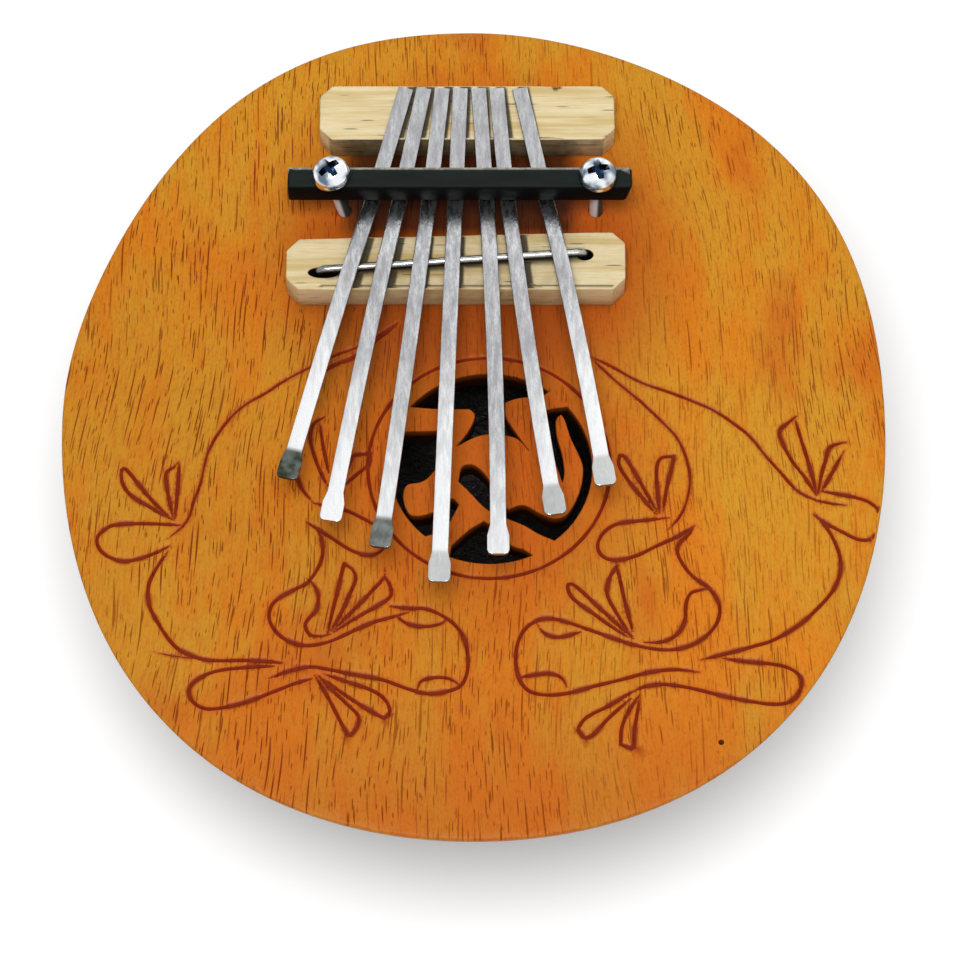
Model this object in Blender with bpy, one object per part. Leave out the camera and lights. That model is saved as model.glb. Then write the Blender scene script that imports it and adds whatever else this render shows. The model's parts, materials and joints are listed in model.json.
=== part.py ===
"""Kalimba on a half coconut shell, with seven tines. Metres, +Z up.

The origin lies under the middle of the soundboard, on the surface that the shell stands on.
+X points to the right of someone who looks over the tine tips, and +Y away from them.
"""

import math

import bmesh
import bpy
from mathutils import Matrix, Vector

# Clearances
SEAT_GAP = 0.0003  # between pieces that rest on each other
SCREW_HOLE_CLEARANCE = 0.0003  # round each screw, in the bar and in the board
WIRE_HOLE_CLEARANCE = 0.00045  # round each leg of the saddle wire
CUT_MARGIN = 0.001  # how far a cutter runs past the faces that it cuts
SMOOTH_BELOW = math.radians(35)  # edges sharper than this stay sharp

# Soundboard
BOARD_WIDTH = 0.130
BOARD_LENGTH = 0.1408
BOARD_THICKNESS = 0.004
BOARD_UNDERCUT = 0.0014  # how far the edge leans in at the bottom
BOARD_EDGE_ROUND = 0.0005
BOARD_SEGMENTS = 96
# Fullness of each corner of the outline and its slope: rear right, rear left, front left, front right
BOARD_CORNERS = ((0.024, -0.05), (0.0, -0.07), (0.03, 0.0), (0.03, 0.0))

# Coconut shell
SHELL_DEPTH = 0.0405  # from the rim to the flat foot
SHELL_WALL = 0.0035  # at the rim
SHELL_FLOOR = 0.0040
SHELL_WAIST_RISE = 0.018  # from the rim up to where the whole nut would be widest
FOOT_RADIUS = 0.015
INNER_FLOOR_RADIUS = 0.012
SHELL_SEGMENTS = 64
SHELL_RINGS = 9

# Pierced rosette
ROSETTE_X = 0.0024
ROSETTE_Y = -0.0090
PIERCED_RADIUS = 0.0162
ARC_STEP = math.radians(6)
STROKE_STEPS = 3

# Bridges
REAR_BRIDGE_INSET = 0.0137  # from the rear of the board
REAR_BRIDGE_X = -0.00105
REAR_BRIDGE_LENGTH = 0.0479
REAR_BRIDGE_DEPTH = 0.0100
REAR_BRIDGE_HEIGHT = 0.0054
FRONT_BRIDGE_OFFSET = 0.0075  # from the middle of the bar to the bridge's rear face, at its middle
FRONT_BRIDGE_DEPTH = 0.0097  # at its middle
FRONT_BRIDGE_FLARE = 0.0014  # deeper by this much at the right end than at the left
FRONT_BRIDGE_HEIGHT = 0.0053
BRIDGE_CORNER = 0.0020
BRIDGE_EASE = 0.0003

# Saddle wire
WIRE_DIAMETER = 0.0013
WIRE_SLANT = math.radians(4.3)
WIRE_OFFSET = 0.0047  # from the front bridge's front face to the middle of the wire
WIRE_LEG = 0.0030  # length of each leg in its hole
WIRE_OVERHANG_LEFT = 0.0040  # from the side of the outer tine to the wire's leg
WIRE_OVERHANG_RIGHT = 0.0029
WIRE_END_LEFT = 0.0052  # from the leg to the end of the bridge
WIRE_END_RIGHT = 0.0065
WIRE_BEND_INNER = 0.0006
WIRE_BEND_STEPS = 4
WIRE_ROUND_STEPS = 2  # per quarter of the wire's girth

# Tines, from left to right
TINE_LENGTHS = (0.0733, 0.0797, 0.0835, 0.0889, 0.0842, 0.0779, 0.0735)
TINE_SPLAYS = [math.radians(turn) for turn in (14, 10, 6.3, 2, -2, -6.5, -10)]  # to the left
TINE_BOWS = (-0.0003, -0.0004, 0.00025, -0.0001, 0.00075, -0.0007, 0.00075)  # sideways, at half length
TINE_WIDTH = 0.0025
TINE_THICKNESS = 0.0009
TINE_SIDE_GAP = 0.00045  # between neighbours at their rear ends
LAST_TINE_EXTRA_GAP = 0.0008
MIDDLE_TINE = 3
MIDDLE_TINE_X = -0.00215
TINE_REAR_INSET = 0.0015  # from the rear face of the rear bridge
TINE_DIP = 0.0015  # how far the bar presses a tine below its straight course
TINE_BEND_REACH = 0.0030
TONGUE_SLOPE = math.tan(math.radians(4))  # upwards from the wire
TINE_SPLIT = 0.0003  # gap at the wire, between the held tail and the sounding tongue
TIP_LENGTH = 0.0050
TIP_FLARE = 0.0018
TIP_WIDTH = 0.0034
TIP_THICKNESS = 0.0006
TIP_CORNER = 0.0007
TAIL_SECTIONS = 15
TONGUE_SECTIONS = 7
CORNER_SECTIONS = 3
CROSSING_ROUNDS = 12  # steps of the search for where a tine crosses a line

# Pressure bar
BAR_OFFSET = 0.0101  # from the rear bridge's front face to the middle of the bar
BAR_DEPTH = 0.0038
BAR_HEIGHT = 0.0044
BAR_EASE = 0.0003
BAR_END_LEFT = 0.0074  # from the screw to the end of the bar
BAR_END_RIGHT = 0.0055

# Screws
SCREW_OUTSET_LEFT = 0.0051  # from the side of the outer tine to the screw's axis, at the bar
SCREW_OUTSET_RIGHT = 0.0072
SCREW_LEAN_LEFT = math.radians(8)  # outwards
SCREW_LEAN_RIGHT = 0.0
SCREW_SHANK_DIAMETER = 0.0022
SCREW_POINT = 0.0030
SCREW_POINT_DIAMETER = 0.0005
SCREW_REACH = 0.0030  # how far the point comes through the board
HEAD_DIAMETER = 0.0062
HEAD_HEIGHT = 0.0030
DOME_RINGS = 6
RECESS_SPAN = 0.0036
RECESS_SLOT = 0.0010
RECESS_DEPTH = 0.0017
RECESS_TAPER = 0.55
SCREW_SEGMENTS = 28

# Heights, from the shell upwards
BOARD_BOTTOM = SHELL_DEPTH + SEAT_GAP
BOARD_TOP = BOARD_BOTTOM + BOARD_THICKNESS
BRIDGE_FOOT = BOARD_TOP + SEAT_GAP
REAR_BRIDGE_TOP = BRIDGE_FOOT + REAR_BRIDGE_HEIGHT
FRONT_BRIDGE_TOP = BRIDGE_FOOT + FRONT_BRIDGE_HEIGHT
WIRE_RADIUS = WIRE_DIAMETER / 2
WIRE_Z = FRONT_BRIDGE_TOP + SEAT_GAP + WIRE_RADIUS
WIRE_TOP = WIRE_Z + WIRE_RADIUS

# Places along the board, from its rear edge forwards
REAR_BRIDGE_BACK = BOARD_LENGTH / 2 - REAR_BRIDGE_INSET
REAR_BRIDGE_FRONT = REAR_BRIDGE_BACK - REAR_BRIDGE_DEPTH
BAR_Y = REAR_BRIDGE_FRONT - BAR_OFFSET
FRONT_BRIDGE_FRONT = BAR_Y - FRONT_BRIDGE_OFFSET - FRONT_BRIDGE_DEPTH
WIRE_Y = FRONT_BRIDGE_FRONT + WIRE_OFFSET

# Pierced windows: the arc that each has at the rosette's edge, from and to in degrees and its radius,
# then the strokes that lead from the arc's end back to its start. Each stroke is a smooth curve through
# the points listed. Radius and points are in pierced radii.
WINDOWS = {
    "cap": (
        (140, 54, 1.0),
        ((0.51, 0.765), (0.28, 0.735), (0.16, 0.69)),
        ((0.165, 0.535), (0.26, 0.365), (0.395, 0.16)),
        ((0.28, 0.295), (0.135, 0.34), (-0.035, 0.345), (-0.17, 0.30), (-0.315, 0.215)),
        ((-0.19, 0.395), (-0.135, 0.55), (-0.19, 0.62)),
        ((-0.49, 0.62),),
    ),
    "hook": (
        (157, 230, 0.955),
        ((-0.43, -0.655), (-0.29, -0.40)),
        ((-0.36, -0.335), (-0.44, -0.43), (-0.585, -0.50), (-0.73, -0.52), (-0.80, -0.45),
         (-0.83, -0.30), (-0.79, -0.19), (-0.665, -0.165), (-0.575, -0.10), (-0.44, 0.09)),
        ((-0.43, 0.385),),
        (),
    ),
    "sweep": (
        (40, -51, 1.0),
        ((0.48, -0.71), (0.333, -0.617), (0.18, -0.55), (-0.02, -0.45), (-0.19, -0.265), (-0.295, -0.155)),
        ((-0.265, -0.01), (-0.19, 0.025), (-0.11, -0.005), (-0.005, -0.13), (0.117, -0.383), (0.19, -0.45)),
        ((0.333, -0.407), (0.488, -0.494), (0.636, -0.55), (0.76, -0.494), (0.87, -0.28), (0.912, -0.06),
         (0.89, 0.08), (0.80, 0.296), (0.74, 0.50), (0.704, 0.56)),
        ((0.654, 0.50), (0.66, 0.327), (0.71, 0.123), (0.728, -0.062), (0.71, -0.167)),
        ((0.63, 0.093), (0.525, 0.395), (0.494, 0.549)),
        ((0.574, 0.61),),
    ),
    "fan": (
        (-66, -112, 1.02),
        ((-0.36, -0.83),),
        ((-0.19, -0.667), (-0.05, -0.575)),
        ((0.086, -0.667), (0.21, -0.827), (0.327, -0.87)),
    ),
}


# Scene helpers

def clear_scene():
    for obj in list(bpy.data.objects):
        bpy.data.objects.remove(obj, do_unlink=True)


def make_material(name, colour, roughness, metallic=0.0):
    material = bpy.data.materials.new(name)
    material.use_nodes = True
    shader = material.node_tree.nodes["Principled BSDF"]
    shader.inputs["Base Color"].default_value = (*colour, 1.0)
    shader.inputs["Roughness"].default_value = roughness
    shader.inputs["Metallic"].default_value = metallic
    return material


def add_object(name, data, material=None, place=(0, 0, 0), turn=0.0, parent=None):
    """Links an object at a world place, turned about Y, and keeps it there under its parent."""
    obj = bpy.data.objects.new(name, data)
    bpy.context.scene.collection.objects.link(obj)
    world = Matrix.Translation(place) @ Matrix.Rotation(turn, 4, "Y")
    if parent:
        obj.parent = parent
        bpy.context.view_layer.update()
        world = parent.matrix_world.inverted() @ world
    obj.matrix_local = world
    bpy.context.view_layer.update()
    if material:
        data.materials.append(material)
    return obj


def mesh_from(name, points, faces, smooth_angle=None):
    """Closed mesh with its faces turned outwards, shaded smooth below the given angle."""
    mesh = bpy.data.meshes.new(name)
    mesh.from_pydata([tuple(point) for point in points], [], faces)
    shape = bmesh.new()
    shape.from_mesh(mesh)
    bmesh.ops.recalc_face_normals(shape, faces=shape.faces)
    shape.to_mesh(mesh)
    shape.free()
    if smooth_angle is not None:
        mesh.shade_smooth()
        mesh.set_sharp_from_angle(angle=smooth_angle)
    return mesh


def loft(name, rings, smooth_angle=None):
    """Solid through closed rings of equally many points, with a flat cap on each end."""
    count = len(rings[0])
    points = [point for ring in rings for point in ring]
    faces = [tuple(range(count)), tuple(range(len(points) - count, len(points)))]
    for ring in range(len(rings) - 1):
        low, high = ring * count, (ring + 1) * count
        for i in range(count):
            j = (i + 1) % count
            faces.append((low + i, low + j, high + j, high + i))
    return mesh_from(name, points, faces, smooth_angle)


def prism(name, outline, bottom, top):
    return loft(name, [[(x, y, z) for x, y in outline] for z in (bottom, top)])


def cut(obj, cutter):
    cutter.hide_render = True
    cutter.display_type = "WIRE"
    modifier = obj.modifiers.new(cutter.name, "BOOLEAN")
    modifier.operation = "DIFFERENCE"
    modifier.solver = "EXACT"
    modifier.object = cutter


def ease_edges(obj, width):
    modifier = obj.modifiers.new("eased edges", "BEVEL")
    modifier.width = width
    modifier.segments = 1
    modifier.limit_method = "ANGLE"


# Soundboard and shell

def outline_point(angle, inset):
    """Point of the board's outline at an angle about its middle, moved in by an inset."""
    quarter = math.pi / 2
    corner = int(angle % math.tau // quarter)
    fullness, slope = BOARD_CORNERS[corner]
    from_middle = angle % math.tau - (corner + 0.5) * quarter
    swell = 1 + (fullness + slope * from_middle) * math.sin(2 * angle) ** 2
    x = (BOARD_WIDTH / 2 - inset) * swell * math.cos(angle)
    y = (BOARD_LENGTH / 2 - inset) * swell * math.sin(angle)
    return x, y


def outline_ring(segments, inset, z, scale=1.0):
    ring = []
    for i in range(segments):
        x, y = outline_point(math.tau * i / segments, inset)
        ring.append((x * scale, y * scale, z))
    return ring


def smooth_stroke(points):
    """Points on a smooth curve through the given ones, from the second to the last."""
    ends = [points[0], *points, points[-1]]
    course = []
    for before, start, end, after in zip(ends, ends[1:], ends[2:], ends[3:]):
        for step in range(1, STROKE_STEPS + 1):
            t = step / STROKE_STEPS
            pull_in = (end - before) * 0.5
            pull_out = (after - start) * 0.5
            course.append(
                start * (2 * t**3 - 3 * t**2 + 1) + pull_in * (t**3 - 2 * t**2 + t)
                + end * (3 * t**2 - 2 * t**3) + pull_out * (t**3 - t**2)
            )
    return course


def window_outline(window):
    """Outline of one pierced window, in the plane of the board."""
    (start, end, radius), *strokes = window
    start, end = math.radians(start), math.radians(end)
    steps = math.ceil(abs(end - start) / ARC_STEP)
    angles = [start + (end - start) * i / steps for i in range(steps + 1)]
    points = [Vector((math.cos(angle), math.sin(angle))) * radius for angle in angles]
    for number, stroke in enumerate(strokes):
        course = [points[-1], *map(Vector, stroke)]
        if number == len(strokes) - 1:
            course.append(points[0])
        points += smooth_stroke(course)
    middle = Vector((ROSETTE_X, ROSETTE_Y))
    return [middle + point * PIERCED_RADIUS for point in points[:-1]]


def make_soundboard(material, screws):
    rings = [
        outline_ring(BOARD_SEGMENTS, BOARD_UNDERCUT, BOARD_BOTTOM),
        outline_ring(BOARD_SEGMENTS, 0.0, BOARD_TOP - BOARD_EDGE_ROUND),
        outline_ring(BOARD_SEGMENTS, BOARD_EDGE_ROUND, BOARD_TOP),
    ]
    board = add_object("soundboard", loft("soundboard", rings), material)
    for name, window in WINDOWS.items():
        cutter_name = f"{name}_window"
        outline = window_outline(window)
        cutter = prism(cutter_name, outline, BOARD_BOTTOM - CUT_MARGIN, BOARD_TOP + CUT_MARGIN)
        cut(board, add_object(cutter_name, cutter))
    for screw in screws:
        cut(board, screw.hole("board", BOARD_BOTTOM, BOARD_TOP))
    return board


def shell_rings(inset, depth, floor_radius):
    """Rings of one face of the shell, from the rim down to a flat floor at a depth below the rim."""
    rim_radius = (BOARD_WIDTH + BOARD_LENGTH) / 4 - inset
    floor_share = floor_radius / rim_radius
    waist = SHELL_WAIST_RISE
    lowest = waist + depth
    semi_axis = math.sqrt((lowest**2 - (floor_share * waist) ** 2) / (1 - floor_share**2))
    at_rim = 1 - (waist / semi_axis) ** 2
    rings = []
    for ring in range(SHELL_RINGS):
        below = depth * math.sin(math.pi / 2 * ring / (SHELL_RINGS - 1))
        scale = math.sqrt((1 - ((waist + below) / semi_axis) ** 2) / at_rim)
        rings.append(outline_ring(SHELL_SEGMENTS, inset, SHELL_DEPTH - below, scale))
    return rings


def make_shell(material):
    outer = shell_rings(BOARD_UNDERCUT, SHELL_DEPTH, FOOT_RADIUS)
    inner = shell_rings(BOARD_UNDERCUT + SHELL_WALL, SHELL_DEPTH - SHELL_FLOOR, INNER_FLOOR_RADIUS)
    mesh = loft("coconut_shell", outer[::-1] + inner, SMOOTH_BELOW)
    return add_object("coconut_shell", mesh, material)


# Bridges and saddle wire

def chamfered_block(name, corners, bottom, top, material):
    """Block whose four upright corners are cut off, from its corners in order round it."""
    outline = []
    for i, corner in enumerate(corners):
        for neighbour in (corners[i - 1], corners[(i + 1) % len(corners)]):
            outline.append(corner + (neighbour - corner).normalized() * BRIDGE_CORNER)
    block = add_object(name, prism(name, outline, bottom, top), material)
    ease_edges(block, BRIDGE_EASE)
    return block


def make_rear_bridge(material):
    left = REAR_BRIDGE_X - REAR_BRIDGE_LENGTH / 2
    right = REAR_BRIDGE_X + REAR_BRIDGE_LENGTH / 2
    corners = [
        Vector((left, REAR_BRIDGE_FRONT)),
        Vector((right, REAR_BRIDGE_FRONT)),
        Vector((right, REAR_BRIDGE_BACK)),
        Vector((left, REAR_BRIDGE_BACK)),
    ]
    return chamfered_block("rear_bridge", corners, BRIDGE_FOOT, REAR_BRIDGE_TOP, material)


def rear_edge_line(x):
    """Y of the rear bridge's front edge, at any x."""
    return REAR_BRIDGE_FRONT


def bar_line(x):
    """Y of the middle of the bar, at any x."""
    return BAR_Y


def wire_line(x):
    """Y of the saddle wire at an x."""
    return WIRE_Y + (x - MIDDLE_TINE_X) * math.tan(WIRE_SLANT)


def wire_ends(tines):
    """X of the wire's left and right leg."""
    left = tines[0].side_x(wire_line, -1) - WIRE_OVERHANG_LEFT
    right = tines[-1].side_x(wire_line, 1) + WIRE_OVERHANG_RIGHT
    return left, right


def make_front_bridge(material, tines):
    wire_left, wire_right = wire_ends(tines)
    left, right = wire_left - WIRE_END_LEFT, wire_right + WIRE_END_RIGHT
    back = FRONT_BRIDGE_FRONT + FRONT_BRIDGE_DEPTH
    corners = [
        Vector((left, FRONT_BRIDGE_FRONT)),
        Vector((right, FRONT_BRIDGE_FRONT)),
        Vector((right, back + FRONT_BRIDGE_FLARE / 2)),
        Vector((left, back - FRONT_BRIDGE_FLARE / 2)),
    ]
    bridge = chamfered_block("front_bridge", corners, BRIDGE_FOOT, FRONT_BRIDGE_TOP, material)
    floor = FRONT_BRIDGE_TOP - WIRE_LEG - SEAT_GAP
    for side, x in (("left", wire_left), ("right", wire_right)):
        name = f"{side}_wire_hole"
        outline = circle(x, wire_line(x), WIRE_RADIUS + WIRE_HOLE_CLEARANCE)
        hole = prism(name, outline, floor, FRONT_BRIDGE_TOP + CUT_MARGIN)
        cut(bridge, add_object(name, hole))
    return bridge


def circle(x, y, radius, segments=SCREW_SEGMENTS):
    turns = [math.tau * i / segments for i in range(segments)]
    return [(x + radius * math.cos(turn), y + radius * math.sin(turn)) for turn in turns]


def make_saddle_wire(material, tines):
    """Wire with both ends bent down into the front bridge."""
    left, right = wire_ends(tines)
    ends = [Vector((x, wire_line(x), WIRE_Z)) for x in (left, right)]
    along = (ends[1] - ends[0]).normalized()
    bend = WIRE_BEND_INNER + WIRE_RADIUS
    leg_end = Vector((0, 0, FRONT_BRIDGE_TOP - WIRE_LEG - WIRE_Z))
    course = []
    for end, inwards in zip(ends, (along, -along)):
        half = [end + leg_end]
        centre = end + inwards * bend - Vector((0, 0, bend))
        for step in range(WIRE_BEND_STEPS + 1):
            turn = math.pi / 2 * step / WIRE_BEND_STEPS
            half.append(centre - inwards * bend * math.cos(turn) + Vector((0, 0, bend * math.sin(turn))))
        course += half if end is ends[0] else half[::-1]
    curve = bpy.data.curves.new("saddle_wire", "CURVE")
    curve.dimensions = "3D"
    curve.bevel_depth = WIRE_RADIUS
    curve.bevel_resolution = WIRE_ROUND_STEPS
    curve.use_fill_caps = True
    spline = curve.splines.new("POLY")
    spline.points.add(len(course) - 1)
    for point, place in zip(spline.points, course):
        point.co = (*place, 1.0)
    return add_object("saddle_wire", curve, material)


# Tines

class Tine:
    """Course of one steel strip, from its rear end to its tip, by the distance from the rear end."""

    def __init__(self, index):
        self.name = f"tine_{index + 1}"
        self.length = TINE_LENGTHS[index]
        self.bow = TINE_BOWS[index]
        splay = TINE_SPLAYS[index]
        steps = index - MIDDLE_TINE
        extra = LAST_TINE_EXTRA_GAP if index == len(TINE_LENGTHS) - 1 else 0.0
        x = MIDDLE_TINE_X + steps * (TINE_WIDTH + TINE_SIDE_GAP) + extra
        self.start = Vector((x, REAR_BRIDGE_BACK - TINE_REAR_INSET, 0))
        self.forward = Vector((-math.sin(splay), -math.cos(splay), 0))
        self.right = Vector((math.cos(splay), -math.sin(splay), 0))
        self.bridge = self.crossing(rear_edge_line)
        self.bar = self.crossing(bar_line)
        self.wire = self.crossing(wire_line)
        self.set_heights()

    def plan(self, distance):
        share = distance / self.length
        sideways = self.bow * 4 * share * (1 - share)
        return self.start + self.forward * distance + self.right * sideways

    def crossing(self, line):
        """Distance at which the strip crosses a line that runs across the board."""
        distance = 0.0
        for _ in range(CROSSING_ROUNDS):
            place = self.plan(distance)
            distance -= (place.y - line(place.x)) / self.forward.y
        return distance

    def side_x(self, line, side):
        """X of the strip's left (-1) or right (1) side where it crosses a line."""
        return self.plan(self.crossing(line)).x + side * TINE_WIDTH / 2 / abs(self.forward.y)

    def set_heights(self):
        """Three points of rest: the rear bridge's edge, the bar above and the wire."""
        at_bridge = REAR_BRIDGE_TOP + SEAT_GAP
        at_wire = WIRE_TOP + SEAT_GAP
        share = (self.bar - self.bridge) / (self.wire - self.bridge)
        self.low = at_bridge + (at_wire - at_bridge) * share - TINE_DIP
        self.rear_slope = (self.low - at_bridge) / (self.bar - self.bridge)
        self.front_slope = (at_wire - self.low) / (self.wire - self.bar)

    def underside(self, distance):
        """Height of the strip's underside: straight runs with a bend under the bar and one at the wire."""
        offset = distance - self.bar
        reach = TINE_BEND_REACH
        turned = min(max(offset + reach, 0.0), 2 * reach) ** 2 / (4 * reach) + max(offset - reach, 0.0)
        height = self.low + self.rear_slope * offset + (self.front_slope - self.rear_slope) * turned
        return height + (TONGUE_SLOPE - self.front_slope) * max(distance - self.wire, 0.0)

    def section(self, distance, width, thickness):
        """Four corners of the strip at a distance."""
        middle = self.plan(distance)
        middle.z = self.underside(distance) + TINE_THICKNESS / 2
        across = self.right * (width / 2)
        up = Vector((0, 0, thickness / 2))
        return [middle - across - up, middle + across - up, middle + across + up, middle - across + up]

    def hinge(self):
        """Middle of the strip above the wire, where the tongue bends."""
        place = self.plan(self.wire)
        place.z = self.underside(self.wire) + TINE_THICKNESS / 2
        return place

    def tail_sections(self):
        end = self.wire - TINE_SPLIT / 2
        stations = [end * i / (TAIL_SECTIONS - 1) for i in range(TAIL_SECTIONS)]
        return [self.section(station, TINE_WIDTH, TINE_THICKNESS) for station in stations]

    def tongue_sections(self):
        start = self.wire + TINE_SPLIT / 2
        neck = self.length - TIP_LENGTH
        stations = [start + (neck - start) * i / (TONGUE_SECTIONS - 1) for i in range(TONGUE_SECTIONS)]
        sections = [self.section(station, TINE_WIDTH, TINE_THICKNESS) for station in stations]
        sections.append(self.section(neck + TIP_FLARE, TIP_WIDTH, TIP_THICKNESS))
        for i in range(CORNER_SECTIONS):
            turn = math.pi / 2 * i / (CORNER_SECTIONS - 1)
            station = self.length - TIP_CORNER * (1 - math.sin(turn))
            width = TIP_WIDTH - 2 * TIP_CORNER * (1 - math.cos(turn))
            sections.append(self.section(station, width, TIP_THICKNESS))
        return sections

    def make(self, material):
        """The tail slides when the tine is tuned, and the tongue bends from it at the wire."""
        hinge = self.hinge()
        tail = None
        for part, sections in (("tail", self.tail_sections()), ("tongue", self.tongue_sections())):
            name = f"{self.name}_{part}"
            rings = [[corner - hinge for corner in section] for section in sections]
            mesh = loft(name, rings, SMOOTH_BELOW)
            tail = add_object(name, mesh, material, hinge, parent=tail)


# Pressure bar and screws

def bar_bottom(tines):
    """Lowest place of the bar that still clears every tine."""
    reach = BAR_DEPTH / 2
    edges = [tine.underside(tine.bar + side * reach) for tine in tines for side in (-1, 1)]
    return max(edges) + TINE_THICKNESS + SEAT_GAP


class Screw:
    """Axis of one clamp screw, from where it passes the middle of the bar."""

    def __init__(self, side, x, lean, bottom):
        self.side = side
        self.lean = lean
        self.up = Vector((math.sin(lean), 0, math.cos(lean)))
        self.middle = Vector((x, BAR_Y, bottom + BAR_HEIGHT / 2))

    def at_height(self, z):
        return self.middle + self.up * ((z - self.middle.z) / self.up.z)

    def seat(self):
        """Middle of the head's underside: its lower rim lies on the bar."""
        bar_top = self.middle.z + BAR_HEIGHT / 2
        return self.at_height(bar_top + SEAT_GAP + HEAD_DIAMETER / 2 * abs(math.sin(self.lean)))

    def hole(self, owner, low, high):
        """Cutter for the screw's hole between two heights."""
        name = f"{self.side}_screw_hole_in_{owner}"
        base = self.at_height(low - CUT_MARGIN)
        length = (high - low + 2 * CUT_MARGIN) / self.up.z
        outline = circle(0, 0, SCREW_SHANK_DIAMETER / 2 + SCREW_HOLE_CLEARANCE)
        return add_object(name, prism(name, outline, 0, length), None, base, self.lean)

    def make(self, material, bar):
        seat = self.seat()
        shank = SCREW_SHANK_DIAMETER / 2
        head = HEAD_DIAMETER / 2
        length = (seat.z - BOARD_BOTTOM + SCREW_REACH) / self.up.z
        profile = [(SCREW_POINT_DIAMETER / 2, -length), (shank, SCREW_POINT - length), (shank, 0), (head, 0)]
        for ring in range(1, DOME_RINGS):
            turn = math.pi / 2 * ring / DOME_RINGS
            profile.append((head * math.sqrt(math.cos(turn)), HEAD_HEIGHT * math.sin(turn)))
        rings = [[(x, y, z) for x, y in circle(0, 0, radius)] for radius, z in profile]
        name = f"screw_{self.side}"
        mesh = loft(name, rings, SMOOTH_BELOW)
        screw = add_object(name, mesh, material, seat, self.lean, bar)
        cut(screw, self.recess(seat))

    def recess(self, seat):
        """Cutter for the cross recess, which narrows downwards."""
        name = f"{self.side}_recess"
        span, slot = RECESS_SPAN / 2, RECESS_SLOT / 2
        arm = [(slot, slot), (slot, span), (-slot, span)]
        outline = []
        for _ in range(4):
            outline += arm
            arm = [(-y, x) for x, y in arm]
        top = HEAD_HEIGHT + CUT_MARGIN
        floor = HEAD_HEIGHT - RECESS_DEPTH
        rings = [[(x * RECESS_TAPER, y * RECESS_TAPER, floor) for x, y in outline]]
        rings.append([(x, y, top) for x, y in outline])
        return add_object(name, loft(name, rings), None, seat, self.lean)


def make_screws(tines):
    bottom = bar_bottom(tines)
    left = tines[0].side_x(bar_line, -1) - SCREW_OUTSET_LEFT
    right = tines[-1].side_x(bar_line, 1) + SCREW_OUTSET_RIGHT
    return [Screw("left", left, -SCREW_LEAN_LEFT, bottom), Screw("right", right, SCREW_LEAN_RIGHT, bottom)]


def make_pressure_bar(material, screws):
    left = screws[0].middle.x - BAR_END_LEFT
    right = screws[1].middle.x + BAR_END_RIGHT
    front, back = BAR_Y - BAR_DEPTH / 2, BAR_Y + BAR_DEPTH / 2
    outline = [(left, front), (right, front), (right, back), (left, back)]
    middle = screws[0].middle.z
    bottom, top = middle - BAR_HEIGHT / 2, middle + BAR_HEIGHT / 2
    bar = add_object("pressure_bar", prism("pressure_bar", outline, bottom, top), material)
    ease_edges(bar, BAR_EASE)
    for screw in screws:
        cut(bar, screw.hole("bar", bottom, top))
    return bar


def main():
    clear_scene()
    stained_wood = make_material("stained_wood", (0.58, 0.21, 0.03), 0.5)
    coconut = make_material("coconut", (0.09, 0.045, 0.022), 0.55)
    pale_wood = make_material("pale_wood", (0.70, 0.58, 0.34), 0.6)
    steel = make_material("spring_steel", (0.55, 0.54, 0.50), 0.35, 1.0)
    wire = make_material("bright_wire", (0.70, 0.70, 0.70), 0.25, 1.0)
    black_metal = make_material("black_metal", (0.015, 0.018, 0.016), 0.4)
    zinc = make_material("bright_zinc", (0.80, 0.82, 0.85), 0.15, 1.0)

    tines = [Tine(index) for index in range(len(TINE_LENGTHS))]
    screws = make_screws(tines)
    make_shell(coconut)
    make_soundboard(stained_wood, screws)
    make_rear_bridge(pale_wood)
    make_front_bridge(pale_wood, tines)
    make_saddle_wire(wire, tines)
    for tine in tines:
        tine.make(steel)
    bar = make_pressure_bar(black_metal, screws)
    for screw in screws:
        screw.make(zinc, bar)


main()
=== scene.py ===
"""Kalimba on a half coconut shell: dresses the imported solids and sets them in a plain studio."""

import functools
import json
import math

import bmesh
import bpy
import numpy as np
from bpy.props import FloatProperty, FloatVectorProperty, IntProperty, PointerProperty
from mathutils import Matrix, Vector, kdtree, noise
from mathutils.bvhtree import BVHTree
from mathutils.geometry import delaunay_2d_cdt


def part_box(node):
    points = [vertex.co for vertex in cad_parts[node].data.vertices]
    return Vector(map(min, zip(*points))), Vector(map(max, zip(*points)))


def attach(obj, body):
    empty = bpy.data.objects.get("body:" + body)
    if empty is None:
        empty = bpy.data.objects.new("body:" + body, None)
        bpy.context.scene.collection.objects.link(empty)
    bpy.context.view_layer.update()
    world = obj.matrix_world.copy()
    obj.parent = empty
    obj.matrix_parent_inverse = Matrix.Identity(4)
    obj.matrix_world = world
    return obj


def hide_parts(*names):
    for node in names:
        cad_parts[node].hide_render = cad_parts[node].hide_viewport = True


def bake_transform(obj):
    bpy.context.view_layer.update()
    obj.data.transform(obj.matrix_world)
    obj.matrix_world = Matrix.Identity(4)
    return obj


bl_info = {
    "name": "Kalimba",
    "version": (1, 0, 0),
    "blender": (4, 5, 0),
    "location": "View3D > Sidebar > Kalimba",
    "description": "Builds the visible pieces of a kalimba around its packed solids",
    "category": "Object",
}

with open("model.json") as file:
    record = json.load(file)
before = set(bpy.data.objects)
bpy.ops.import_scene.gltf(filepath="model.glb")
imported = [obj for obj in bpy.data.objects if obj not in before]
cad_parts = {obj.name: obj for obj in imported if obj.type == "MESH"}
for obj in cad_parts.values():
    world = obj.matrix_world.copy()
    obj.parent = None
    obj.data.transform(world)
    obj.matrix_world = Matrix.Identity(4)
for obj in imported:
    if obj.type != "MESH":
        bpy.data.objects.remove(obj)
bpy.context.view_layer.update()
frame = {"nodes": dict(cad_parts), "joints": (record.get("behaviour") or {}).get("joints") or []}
JOINTS = {joint["name"]: joint for joint in frame["joints"]}

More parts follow.
